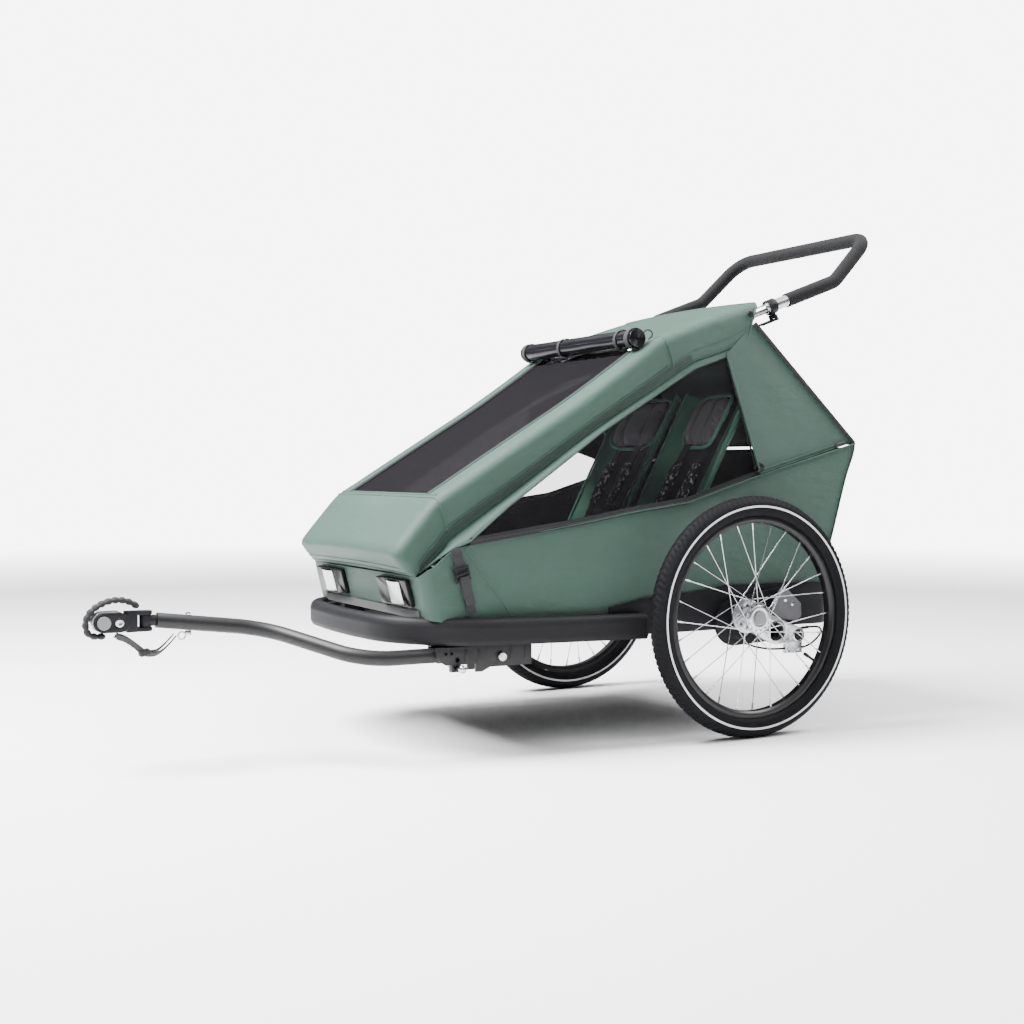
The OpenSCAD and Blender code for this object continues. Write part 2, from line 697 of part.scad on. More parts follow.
band_top = [[666, 499], [578, 553], [356, 688], [228, 773], [150, 827], [49, 866], [-55, 900], [-98, 914]];
band_low = [[-84, 892], [-82, 862], [-64, 832], [-19, 806], [75, 774], [172, 717], [302, 642], [529, 490],
            [617, 433], [644, 414]];

module canopy() {
    color("#5d7d70") row() {
        both_sides() {
            slab(roof_y - fabric_t, roof_y) polygon(concat(band_top, band_low));
            slab(screen_y + 1, roof_y - fabric_t)
                polygon(strip(concat([[652, 507.6]], [for (i = [1:4]) band_top[i]]), fabric_t));
        }
        slab(-roof_y + fabric_t, roof_y - fabric_t) polygon(strip([for (i = [4:7]) band_top[i]], fabric_t));
    }
}
screen_y = 200;

module front_hood() {
    shell = [[668, 501], [700, 462], [752, 400], [752, 388], [722, 353], [715, 349], [708, 353], [738, 392],
             [690, 452], [660, 490], [655, 497]];
    cheek = [[668, 501], [700, 462], [752, 400], [752, 388], [722, 353], [694, 366], [671, 384], [645, 412], [655, 470]];
    color("#82a091") row() {
        slab(-roof_y + fabric_t, roof_y - fabric_t) polygon(shell);
        both_sides() slab(roof_y - fabric_t, roof_y) difference() {
            polygon(cheek);
            offset(delta = touch) polygon(concat(band_top, band_low));
        }
    }
}

module mesh_screen() {
    low = [for (i = [0:3]) band_top[i] - [0, 2]];
    color("#2b2c30") row() slab(-screen_y, screen_y)
        polygon(strip(concat([[652, 505]], [low[1], low[2], low[3]], [[160, 815]]), 2));
}

module cover_roll() {
    color("#1b1b1f") row() rod([190, -236, 827], [190, 236, 827], 21);
}

module seat_uprights() {
    a = unit(seat_pin - foot);
    reach = norm(seat_pin - foot);
    color("#2a2b2e") row() {
        both_sides() {
            difference() {
                barrel(seat_pin, upright_y - 8, upright_y + 8, 12);
                barrel(seat_pin, upright_y - 9, upright_y + 9, 6 + run);
            }
            rod([foot.x, upright_y, foot.y],
                [foot.x + a.x * (reach - 10), upright_y, foot.y + a.y * (reach - 10)], upright_r - 1);
            translate([foot.x, upright_y, foot.y]) sphere(upright_r - 1);
        }
        rod([foot.x, -upright_y, foot.y], [foot.x, upright_y, foot.y], 6);
    }
}

// --- push handle ---------------------------------------------------------
function on_arm(x, y) = [x, y, arm_z(x)];
handle_route = bent([on_arm(sleeve_x[1] + 2, rail_y), [handle_low.x, rail_y, handle_low.y],
    [handle_top.x, rail_y - 14, handle_top.y], [handle_top.x, -rail_y + 14, handle_top.y],
    [handle_low.x, -rail_y, handle_low.y], on_arm(sleeve_x[1] + 2, -rail_y)], 52, 7);
grip_route = concat([on_arm(foam_x, rail_y)], [for (i = [1:len(handle_route) - 2]) handle_route[i]],
    [on_arm(foam_x, -rail_y)]);

// One bent tube whose open ends telescope over the roof rails
module handle_tube() {
    color("#c9ccd1") row() {
        both_sides() difference() {
            rod(on_arm(sleeve_x[0], rail_y), on_arm(sleeve_x[1], rail_y), sleeve_d / 2);
            rod(on_arm(sleeve_x[0] + 10, rail_y), on_arm(sleeve_x[1] + 2, rail_y), rail_r + 2 * run);
        }
        sweep(handle_route, sleeve_d / 2 - 0.01, 20);
    }
}
module handle_grip() {
    color("#28282b") row() sweep_tube(grip_route, grip_d / 2, sleeve_d / 2 + 0.3, 20);
}

// Split collars that lock the handle on the rails
collar_x = [-134, -152];
module clamp_collars() {
    color("#141416") row() both_sides() difference() {
        union() {
            rod(on_arm(collar_x[0], rail_y), on_arm(collar_x[1], rail_y), sleeve_d / 2 + 4);
            lever_frame() translate([-3.5, -lever_w / 2, -3.5]) cube([7, lever_w, 13.5]);
        }
        rod(on_arm(collar_x[0] + 10, rail_y), on_arm(collar_x[1] - 10, rail_y), sleeve_d / 2 + touch);
        lever_frame() translate([0, lever_w, 0]) rotate([90, 0, 0]) cylinder(h = 2 * lever_w, r = lever_pin_r + run);
    }
}

// Frame at the lever's hinge, with x along the arm towards its front
lever_w = 14;
lever_pin_r = 2;
lever_drop = sleeve_d / 2 + 7;
module lever_frame() {
    translate(on_arm((collar_x[0] + collar_x[1]) / 2, rail_y)) rotate([0, handle_rise, 0])
        translate([0, 0, -lever_drop - 3]) children();
}
module clamp_lever(s) {
    color("#141416") row() on_side(s) lever_frame() {
        translate([0, lever_w / 2 + 1, 0]) rotate([90, 0, 0]) cylinder(h = lever_w + 2, r = lever_pin_r);
        for (y = [-lever_w / 2 - 4, lever_w / 2 + 1]) translate([-4, y, -6]) cube([8, 3, 10]);
        translate([-6, -lever_w / 2 - 4, -9]) cube([46, lever_w + 8, 3.5]);
    }
}
module clamp_lever_left() { clamp_lever(1); }
module clamp_lever_right() { clamp_lever(-1); }

bumper();
base_frame();
floor_pan();
tub();
skirt();
reflector_housings();
reflector_lenses();
carriers();
carrier_covers();
cover_bolts();
elastomer_left();
elastomer_right();
receiver();
receiver_bolt();
rear_bag();
rear_cover();
windows();
side_straps();
seats();
headrests();
harnesses();
brake_cable_left();
brake_cable_right();
swing_arm_left();
swing_arm_right();
axle_left();
axle_right();
release_cap_left();
release_cap_right();
tyre_left();
tyre_right();
rim_left();
rim_right();
spokes_left();
spokes_right();
hub_left();
hub_right();
bearings_left();
bearings_right();
drawbar();
drawbar_eye();
strap_clamp();
safety_strap();
lock_pin();
hitch_head();
hitch_shell();
hitch_strap();
hitch_button();
hitch_key();
roof_frame();
canopy();
front_hood();
mesh_screen();
cover_roll();
seat_uprights();
handle_tube();
handle_grip();
clamp_collars();
clamp_lever_left();
clamp_lever_right();
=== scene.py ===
"""Looks of a two-seat child bicycle trailer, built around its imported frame."""
import json
import math
import random

import bpy
from bpy.props import FloatProperty, FloatVectorProperty, IntProperty, PointerProperty
from bpy.types import Operator, Panel, PropertyGroup
from mathutils import Matrix, Vector


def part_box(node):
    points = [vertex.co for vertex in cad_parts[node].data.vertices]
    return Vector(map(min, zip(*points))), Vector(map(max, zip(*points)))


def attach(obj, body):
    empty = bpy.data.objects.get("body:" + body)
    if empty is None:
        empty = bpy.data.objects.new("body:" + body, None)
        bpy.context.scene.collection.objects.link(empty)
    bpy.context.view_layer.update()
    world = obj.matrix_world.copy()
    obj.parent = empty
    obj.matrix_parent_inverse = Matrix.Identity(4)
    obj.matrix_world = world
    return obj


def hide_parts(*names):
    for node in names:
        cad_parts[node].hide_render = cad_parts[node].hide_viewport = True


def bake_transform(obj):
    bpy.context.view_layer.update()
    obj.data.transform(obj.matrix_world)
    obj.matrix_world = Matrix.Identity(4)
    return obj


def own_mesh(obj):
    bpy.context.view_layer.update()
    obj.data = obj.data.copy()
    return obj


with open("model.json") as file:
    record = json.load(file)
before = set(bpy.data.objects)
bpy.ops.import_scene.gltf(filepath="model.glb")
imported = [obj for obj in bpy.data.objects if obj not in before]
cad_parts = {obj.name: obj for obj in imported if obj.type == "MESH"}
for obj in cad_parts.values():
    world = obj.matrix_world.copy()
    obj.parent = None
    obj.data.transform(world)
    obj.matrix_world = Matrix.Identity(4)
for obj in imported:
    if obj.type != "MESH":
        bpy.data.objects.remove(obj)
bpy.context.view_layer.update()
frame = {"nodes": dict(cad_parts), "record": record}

bl_info = {
    "name": "Child Bicycle Trailer",
    "version": (1, 0, 0),
    "blender": (4, 5, 0),
    "location": "View3D > Sidebar > Trailer",
    "description": "Builds the fabric, wheels, hitch and seats of a child bicycle trailer",
    "category": "Object",
}

MM = 0.001
AXLE_X = sum(corner.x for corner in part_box("axle_left")) / 2
BODY_OF = {n: body for body, nodes in frame["record"]["behaviour"]["bodies"].items() for n in nodes}
SIDES = (("left", 1), ("right", -1))


def at(x, y, z):
    """Point given in millimetres from the wheel axle's middle on the ground."""
    return Vector((AXLE_X + x * MM, y * MM, z * MM))


# --- lines ------------------------------------------------------------------
def mixed(a, b, t):
    """Point between a and b, as a tuple."""
    return tuple(p + (q - p) * t for p, q in zip(a, b))


def along(points, t):
    """Point at share t of an open line, corner by corner."""
    s = min(max(t, 0), 1) * (len(points) - 1)
    i = min(int(s), len(points) - 2)
    return mixed(points[i], points[i + 1], s - i)


def spaced(points, count):
    """count + 1 evenly spaced points on an open line."""
    length = [0]
    for p, q in zip(points, points[1:]):
        length.append(length[-1] + math.dist(p, q))
    out, k = [], 0
    for i in range(count + 1):
        s = length[-1] * i / count
        while k < len(points) - 2 and length[k + 1] < s:
            k += 1
        span = length[k + 1] - length[k]
        out.append(mixed(points[k], points[k + 1], (s - length[k]) / span if span else 0))
    return out


def smooth(points, count, steps=8):
    """count + 1 evenly spaced points on a smooth curve through points."""
    full = [mixed(points[0], points[1], -1), *points, mixed(points[-1], points[-2], -1)]
    fine = []
    for a, b, c, d in zip(full, full[1:], full[2:], full[3:]):
        for k in range(steps):
            t = k / steps
            fine.append(tuple(
                (2 * q + (r - p) * t + (2 * p - 5 * q + 4 * r - s) * t * t
                 + (3 * q - p - 3 * r + s) * t ** 3) / 2 for p, q, r, s in zip(a, b, c, d)))
    return spaced([*fine, tuple(points[-1])], count)


def rounded(corners, radius, steps=4, closed=True):
    """Line through corners with each corner rounded."""
    out = []
    n = len(corners)
    for i, b in enumerate(corners):
        if not closed and i in (0, n - 1):
            out.append(tuple(b))
            continue
        a, c = Vector(corners[i - 1]), Vector(corners[(i + 1) % n])
        mid = Vector(b)
        u, w = a - mid, c - mid
        reach = min(radius, u.length * 0.45, w.length * 0.45)
        start, end = mid + u.normalized() * reach, mid + w.normalized() * reach
        for k in range(steps + 1):
            t = k / steps
            out.append(tuple(start * (1 - t) ** 2 + mid * 2 * t * (1 - t) + end * t * t))
    return out


# --- modelling --------------------------------------------------------------
def pick(obj):
    """Selects obj alone and makes it active."""
    bpy.ops.object.select_all(action="DESELECT")
    obj.select_set(True)
    bpy.context.view_layer.objects.active = obj
    return obj


def start(add, name, **settings):
    """Adds a primitive with nothing else selected and names it."""
    bpy.ops.object.select_all(action="DESELECT")
    add(**settings)
    obj = bpy.context.object
    obj.name = obj.data.name = name
    return obj


def edit(obj, *steps):
    """Runs edit-mode operators on everything in obj."""
    pick(obj)
    bpy.ops.object.mode_set(mode="EDIT")
    bpy.ops.mesh.select_all(action="SELECT")
    for operator, settings in steps:
        operator(**settings)
    bpy.ops.object.mode_set(mode="OBJECT")
    return obj


def cut_out(obj, inside):
    """Deletes the faces whose middle is inside."""
    edit(obj, (bpy.ops.mesh.select_mode, {"type": "FACE"}),
         (bpy.ops.mesh.select_all, {"action": "DESELECT"}))
    for face in obj.data.polygons:
        face.select = inside(face.center)
    bpy.ops.object.mode_set(mode="EDIT")
    bpy.ops.mesh.delete(type="FACE")
    bpy.ops.mesh.select_mode(type="VERT")
    bpy.ops.object.mode_set(mode="OBJECT")
    return obj


def weld(obj, distance=0.01):
    return edit(obj, (bpy.ops.mesh.remove_doubles, {"threshold": distance * MM}))


def outward(obj):
    return edit(obj, (bpy.ops.mesh.normals_make_consistent, {"inside": False}))


def modify(obj, kind, **settings):
    """Adds a modifier and applies it."""
    modifier = obj.modifiers.new(kind.title(), kind)
    for key, value in settings.items():
        setattr(modifier, key, value)
    pick(obj)
    bpy.ops.object.modifier_apply(modifier=modifier.name)
    return obj


def thicken(obj, thickness, offset=-1.0, **settings):
    return modify(obj, "SOLIDIFY", thickness=thickness * MM, offset=offset, **settings)


def lined(obj, thickness=2.4):
    """Gives a sheet its thickness, with the second finish on its inner side."""
    obj.data.materials.append(FINISHES["green"])
    obj.data.materials.append(FINISHES["lining"])
    return outward(thicken(obj, thickness, -1, material_offset=1))


def bevelled(obj, width, segments=2, angle=35):
    return modify(obj, "BEVEL", width=width * MM, segments=segments, limit_method="ANGLE",
                  angle_limit=math.radians(angle), use_clamp_overlap=True)


def subdivided(obj, levels=1):
    return modify(obj, "SUBSURF", levels=levels, render_levels=levels)


def surface(name, columns, rows, place, wrap=False):
    """Grid whose point at shares (u, w) lies at place(u, w)."""
    obj = start(bpy.ops.mesh.primitive_grid_add, name, x_subdivisions=columns, y_subdivisions=rows,
                size=2, calc_uvs=True)
    for vertex in obj.data.vertices:
        vertex.co = place((vertex.co.x + 1) / 2, (vertex.co.y + 1) / 2)
    if wrap:
        weld(obj)
        outward(obj)
    return obj


def line_of(name, points, radius, sides=3, closed=False):
    """Round cord along points, as a mesh."""
    obj = start(bpy.ops.curve.primitive_nurbs_path_add, name)
    data = obj.data
    data.splines.clear()
    spline = data.splines.new("POLY")
    spline.points.add(len(points) - 1)
    for target, p in zip(spline.points, points):
        target.co = (*at(*p), 1)
    spline.use_cyclic_u = closed
    data.dimensions = "3D"
    data.bevel_depth = radius * MM
    data.bevel_resolution = sides
    data.use_fill_caps = True
    bpy.ops.object.convert(target="MESH")
    obj = bpy.context.object
    weld(obj, 0.005)
    return outward(obj)


def ribbon(name, route, across, width, thickness, rows=2):
    """Flat webbing along route; across is its width's direction, or a function of the share along it."""
    def place(u, w):
        side = across(u) if callable(across) else across
        side = Vector(side).normalized() * (w - 0.5) * width
        p = along(route, u)
        return at(p[0] + side.x, p[1] + side.y, p[2] + side.z)
    obj = surface(name, len(route) - 1, rows, place)
    thicken(obj, thickness, 0)
    return outward(obj)


def stitches(name, route, pitch=4.5, length=3.0, width=0.55):
    """Row of sewn stitches along route, each one small slanted block."""
    total = sum(math.dist(p, q) for p, q in zip(route, route[1:]))
    count = max(2, int(total / pitch))
    spots = spaced(route, count * 3)
    obj = start(bpy.ops.mesh.primitive_cube_add, name, size=1)
    block = [v.co.copy() for v in obj.data.vertices]
    faces = [tuple(f.vertices) for f in obj.data.polygons]
    points, polygons = [], []
    for i in range(count):
        a, b = Vector(spots[3 * i]), Vector(spots[3 * i + 2])
        turn = (b - a).to_track_quat("X", "Z").to_matrix()
        middle = (a + b) / 2
        base = len(points)
        points += [at(*(middle + turn @ Vector((c.x * length, c.y * width, c.z * width)))) for c in block]
        polygons += [tuple(base + k for k in f) for f in faces]
    obj.data.clear_geometry()
    obj.data.from_pydata(points, [], polygons)
    return obj


def swept(name, route, outline, up=(0, 0, 1), caps=True, columns=None):
    """Closed outline of [outward, up] points, swept along an open route."""
    route = [Vector(p) for p in route]
    up = Vector(up)
    frames = []
    for i, p in enumerate(route):
        t = (route[min(i + 1, len(route) - 1)] - route[max(i - 1, 0)]).normalized()
        out = t.cross(up).normalized()
        frames.append((p, out, out.cross(t).normalized()))
    ring = [*outline, outline[0]]

    def place(u, w):
        i = u * (len(frames) - 1)
        p, out, high = frames[round(i)]
        q = along(ring, w)
        return at(*(p + out * q[0] + high * q[1]))
    obj = surface(name, len(route) - 1, len(outline), place)
    weld(obj)
    if caps:
        edit(obj, (bpy.ops.mesh.select_all, {"action": "DESELECT"}),
             (bpy.ops.mesh.select_non_manifold, {}), (bpy.ops.mesh.edge_face_add, {}))
    return outward(obj)


def turned(name, profile, centre, axis_y=1, steps=64):
    """Part turned about a line along Y; profile is [radius, distance along Y] in millimetres."""
    def place(u, w):
        r, d = along(profile, w)
        a = 2 * math.pi * u
        return at(centre[0] + r * math.cos(a), centre[1] + axis_y * d, centre[2] + r * math.sin(a))
    return surface(name, steps, len(profile) - 1, place, wrap=True)


def joined(name, pieces):
    """Joins pieces into the first and names it."""
    pick(pieces[0])
    for piece in pieces[1:]:
        piece.select_set(True)
    if len(pieces) > 1:
        bpy.ops.object.join()
    obj = bpy.context.object
    obj.name = obj.data.name = name
    return obj


def kept(obj, body, finish, replaces=(), angle=38, folds=False):
    """Sets a finished piece at the origin with its finish and body."""
    pick(obj)
    bpy.ops.object.transform_apply(location=True, rotation=True, scale=True)
    bpy.ops.object.shade_smooth_by_angle(angle=math.radians(angle))
    finishes = finish if isinstance(finish, (list, tuple)) else [finish]
    indices = [min(face.material_index, len(finishes) - 1) for face in obj.data.polygons]
    obj.data.materials.clear()
    for each in finishes:
        obj.data.materials.append(each)
    obj.data.polygons.foreach_set("material_index", indices)
    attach(obj, body)
    if replaces:
        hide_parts(*replaces)
    if folds:
        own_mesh(obj)
    return obj


def refined(node, finish, bevel=0.6, segments=2, angle=35, name=None):
    """Smooth copy of a CAD node with eased edges, which stands for it."""
    source = frame["nodes"][node]
    obj = bpy.data.objects.new(name or node + "_part", source.data.copy())
    bpy.context.scene.collection.objects.link(obj)
    pick(obj)
    if obj.data.has_custom_normals:
        bpy.ops.mesh.customdata_custom_splitnormals_clear()
    edit(obj, (bpy.ops.mesh.remove_doubles, {"threshold": 0.004 * MM}),
         (bpy.ops.mesh.dissolve_limited, {"angle_limit": math.radians(0.6)}))
    if bevel:
        bevelled(obj, bevel, segments, angle)
    return kept(obj, BODY_OF[node], finish, [node], angle)


# --- finishes ---------------------------------------------------------------
class Value:
    """A number on a shader socket; arithmetic on it adds Math nodes."""

    def __init__(self, finish, socket):
        self.finish, self.socket = finish, socket

    def math(self, operation, *others):
        return self.finish.add("Math", {"operation": operation}, self, *others)

    def __add__(self, other):
        return self.math("ADD", other)

    def __mul__(self, other):
        return self.math("MULTIPLY", other)

    def __sub__(self, other):
        return self.math("SUBTRACT", other)

    def __rsub__(self, other):
        return self.finish.add("Math", {"operation": "SUBTRACT"}, other, self)

    def __truediv__(self, other):
        return self.math("DIVIDE", other)

    def __pow__(self, other):
        return self.math("POWER", other)

    def __lt__(self, other):
        return self.math("LESS_THAN", other)

    def __gt__(self, other):
        return self.math("GREATER_THAN", other)

    __radd__ = __add__
    __rmul__ = __mul__


class Finish:
    """A material whose nodes are written as expressions."""

    def __init__(self, name, colour, **constants):
        self.material = bpy.data.materials.new(name)
        self.material.use_nodes = True
        self.tree = self.material.node_tree
        self.shader = self.tree.nodes["Principled BSDF"]
        self.colour = (*colour, 1)
        self.shader.inputs["Base Color"].default_value = self.colour
        self.material.diffuse_color = self.colour
        for key, value in constants.items():
            self.shader.inputs[key.replace("_", " ").title().replace("Ior", "IOR")].default_value = value

    def add(self, kind, settings=None, *values, out=0, **named):
        """Adds a node; values go to its sockets in order, named ones by name."""
        node = self.tree.nodes.new("ShaderNode" + kind)
        for key, value in (settings or {}).items():
            setattr(node, key, value)
        for socket, value in [*zip(node.inputs, values), *((node.inputs[k], v) for k, v in named.items())]:
            if isinstance(value, Value):
                self.tree.links.new(value.socket, socket)
            else:
                socket.default_value = value
        return Value(self, node.outputs[out])

    def spot(self, scale=(1, 1, 1), turn=(0, 0, 0), move=(0, 0, 0), space="Object"):
        """Place on the piece, turned and scaled."""
        return self.add("Mapping", None, self.add("TexCoord", None, out=space),
                        Location=move, Rotation=[math.radians(a) for a in turn], Scale=scale)

    def noise(self, scale, detail=2.0, rough=0.5, where=None):
        return self.add("TexNoise", None, Vector=where or self.spot(), Scale=scale, Detail=detail,
                        Roughness=rough)

    def wave(self, scale, direction="X", distortion=0.0, where=None):
        return self.add("TexWave", {"bands_direction": direction}, Vector=where or self.spot(), Scale=scale,
                        Distortion=distortion, out=1)

    def blend(self, share, first, second):
        """Colour between first and second."""
        node = self.tree.nodes.new("ShaderNodeMix")
        node.data_type = "RGBA"
        for index, value in ((0, share), (6, first), (7, second)):
            if isinstance(value, Value):
                self.tree.links.new(value.socket, node.inputs[index])
            else:
                node.inputs[index].default_value = value
        return Value(self, node.outputs[2])

    def tint(self, factor):
        """The base colour made darker or lighter."""
        return (*[min(1, c * factor) for c in self.colour[:3]], 1)

    def drive(self, **sockets):
        for key, value in sockets.items():
            self.tree.links.new(value.socket, self.shader.inputs[key.replace("_", " ").title()])
        return self

    def bump(self, height, distance, strength=1.0, normal=None):
        extra = {"Normal": normal} if normal else {}
        return self.add("Bump", None, Height=height, Distance=distance, Strength=strength, **extra)


def coated_fabric(name, colour, rough=0.5, sheen=0.25, crease=1.0, coat=0.05):
    """Smooth coated cloth with a fine weave, faint clouding and soft creases."""
    f = Finish(name, colour, Sheen_Weight=sheen * 0.15, Sheen_Roughness=0.45, Specular_Ior_Level=0.28,
               Coat_Weight=coat,
               Coat_Roughness=0.4)
    cloud = f.noise(5, 3, 0.55)
    weave = f.wave(520, "X") * f.wave(520, "Z") + f.wave(520, "Y") * 0.5
    folds = f.noise(9, 3, 0.6, f.spot((1, 1, 2.2), (0, 28, 12)))
    fine = f.noise(70, 2, 0.6)
    f.drive(Base_Color=f.blend(cloud, f.tint(0.84), f.tint(1.15)),
            Roughness=rough - 0.08 + cloud * 0.14 + fine * 0.05,
            Normal=f.bump(folds * crease + fine * 0.04, 0.010, 0.35, f.bump(weave, 0.0004, 0.5)))
    return f.material


def woven(name, colour, rough=0.85, sheen=0.4, pitch=420, fleck=0.0, fleck_colour=(0.5, 0.5, 0.52)):
    """Plain woven cloth with threads, fuzz and, if asked, pale flecks."""
    f = Finish(name, colour, Sheen_Weight=sheen * 0.3, Sheen_Roughness=0.6, Specular_Ior_Level=0.2)
    threads = f.wave(pitch, "Z") * 0.5 + f.wave(pitch, "X") * 0.5
    fuzz = f.noise(240, 3, 0.7)
    cloud = f.noise(16, 2)
    base = f.blend(fuzz * 0.5 + cloud * 0.5, f.tint(0.7), f.tint(1.4))
    if fleck:
        spots = f.noise(150, 2, 0.5, f.spot((1, 1, 0.6))) > (1 - fleck)
        base = f.blend(spots, base, (*fleck_colour, 1))
    f.drive(Base_Color=base, Roughness=rough - 0.08 + fuzz * 0.14,
            Normal=f.bump(fuzz, 0.0004, 0.25, f.bump(threads, 0.0003, 0.25)))
    return f.material


def webbing(name, colour):
    """Ribbed webbing; its ribs run across its length."""
    f = Finish(name, colour, Sheen_Weight=0.06, Sheen_Roughness=0.5, Specular_Ior_Level=0.3)
    ribs = f.wave(190, "Z", 0.3)
    fuzz = f.noise(300, 2)
    f.drive(Base_Color=f.blend(ribs * 0.5 + fuzz * 0.3, f.tint(0.6), f.tint(2.2)),
            Roughness=0.62 + fuzz * 0.2,
            Normal=f.bump(ribs, 0.0006, 0.8))
    return f.material


def moulded(name, colour, rough=0.42, grain=1.0, coat=0.0, wear=1.25):
    """Moulded plastic with a fine grain, faint flow marks and rubbed high spots."""
    f = Finish(name, colour, Specular_Ior_Level=0.14, Coat_Weight=coat, Coat_Roughness=0.2)
    grains = f.add("TexVoronoi", None, Vector=f.spot(), Scale=900.0)
    flow = f.noise(7, 3, 0.6)
    scuff = f.noise(60, 4, 0.75, f.spot((1, 1, 3)))
    f.drive(Base_Color=f.blend(flow * 0.6 + (scuff > 0.62) * 0.25, f.tint(0.85), f.tint(wear)),
            Roughness=rough - 0.06 + flow * 0.1 + scuff * 0.06, Normal=f.bump(grains, 0.00025, 0.5 * grain))
    return f.material


def metal(name, colour, rough=0.3, brushed=0.5, metallic=1.0, pits=0.0, coat=0.0):
    """Bare or coated metal with fine drawing lines, smudges and cast grain."""
    f = Finish(name, colour, Metallic=metallic, Specular_Ior_Level=0.3, Coat_Weight=coat,
               Coat_Roughness=0.15)
    lines = f.noise(260, 3, 0.7, f.spot((1, 1, 0.05)))
    smudge = f.noise(14, 3, 0.6)
    grit = f.noise(520, 2, 0.6)
    height = lines * 0.3 * brushed + grit * pits
    f.drive(Base_Color=f.blend(smudge, f.tint(0.86), f.tint(1.08)),
            Roughness=rough - 0.08 + smudge * 0.13 + lines * 0.06,
            Normal=f.bump(height, 0.0005, 0.35))
    return f.material


def rubbery(name, colour, rough=0.72, scale=260):
    """Matt rubber or foam with fine pores."""
    f = Finish(name, colour, Sheen_Weight=0.02, Sheen_Roughness=0.5, Specular_Ior_Level=0.2)
    pores = f.add("TexVoronoi", None, Vector=f.spot(), Scale=float(scale) * 3)
    dust = f.noise(22, 4, 0.65)
    f.drive(Base_Color=f.blend(dust, f.tint(0.75), f.tint(1.6)), Roughness=rough - 0.08 + dust * 0.16,
            Normal=f.bump(pores, 0.0006, 0.5))
    return f.material


def tyre_rubber(name, colour, axle_height, stripe_radius, side_width):
    """Tyre rubber with moulded rings and a reflective stripe round each side wall."""
    f = Finish(name, colour, Specular_Ior_Level=0.05)
    centred = f.spot(move=(-AXLE_X, 0, -axle_height))
    flat = f.add("VectorMath", {"operation": "MULTIPLY"}, centred, (1, 0, 1))
    radius = f.add("VectorMath", {"operation": "LENGTH"}, flat, out="Value")
    stripe = (radius > stripe_radius - side_width) * (radius < stripe_radius + side_width)
    rings = f.add("Math", {"operation": "SINE"}, radius * 2600)
    dust = f.noise(40, 4, 0.7)
    grain = f.noise(420, 2, 0.5)
    f.drive(Base_Color=f.blend(stripe, f.blend(dust, f.tint(0.7), f.tint(1.7)), (0.56, 0.57, 0.58, 1)),
            Roughness=0.5 + dust * 0.2 - stripe * 0.18,
            Normal=f.bump(rings * 0.15 * (radius < stripe_radius - 0.004) + grain * 0.25, 0.0010, 0.4))
    return f.material


def window_film(name, colour, alpha):
    """Tinted clear film with a faint ripple."""
    f = Finish(name, colour, Alpha=alpha, Coat_Weight=0.25, Coat_Roughness=0.08)
    ripple = f.noise(11, 2, 0.5, f.spot((1, 1, 1.8)))
    haze = f.noise(30, 4, 0.7)
    f.drive(Roughness=0.1 + haze * 0.14, Normal=f.bump(ripple, 0.010, 0.25),
            Base_Color=f.blend(haze, f.tint(0.8), f.tint(1.3)))
    return f.material


def mesh_cloth(name, colour, alpha):
    """Fine insect mesh."""
    f = Finish(name, colour, Sheen_Weight=0.0, Specular_Ior_Level=0.03, Alpha=alpha)
    threads = f.wave(330, "X") * 0.5 + f.wave(330, "Y") * 0.5
    cloud = f.noise(9, 3)
    grain = f.noise(460, 2, 0.6)
    f.drive(Base_Color=f.blend(threads * 0.4 + grain * 0.6, f.tint(0.6), f.tint(1.9)),
            Roughness=0.72 + cloud * 0.12,
            Normal=f.bump(threads, 0.0007, 0.7))
    return f.material


def lens_prisms(name, colour):
    """Clear reflector with rows of small prisms."""
    f = Finish(name, colour, Metallic=0.35, Coat_Weight=0.9, Coat_Roughness=0.04)
    cells = f.add("TexVoronoi", {"feature": "DISTANCE_TO_EDGE"}, Vector=f.spot(), Scale=330.0)
    bands = f.wave(60, "Y")
    f.drive(Base_Color=f.blend(cells * 3 + bands * 0.2, f.tint(0.72), f.tint(1.15)),
            Roughness=0.16 + cells * 0.3,
            Normal=f.bump(cells, 0.0012, 0.6))
    return f.material


FINISHES = {}


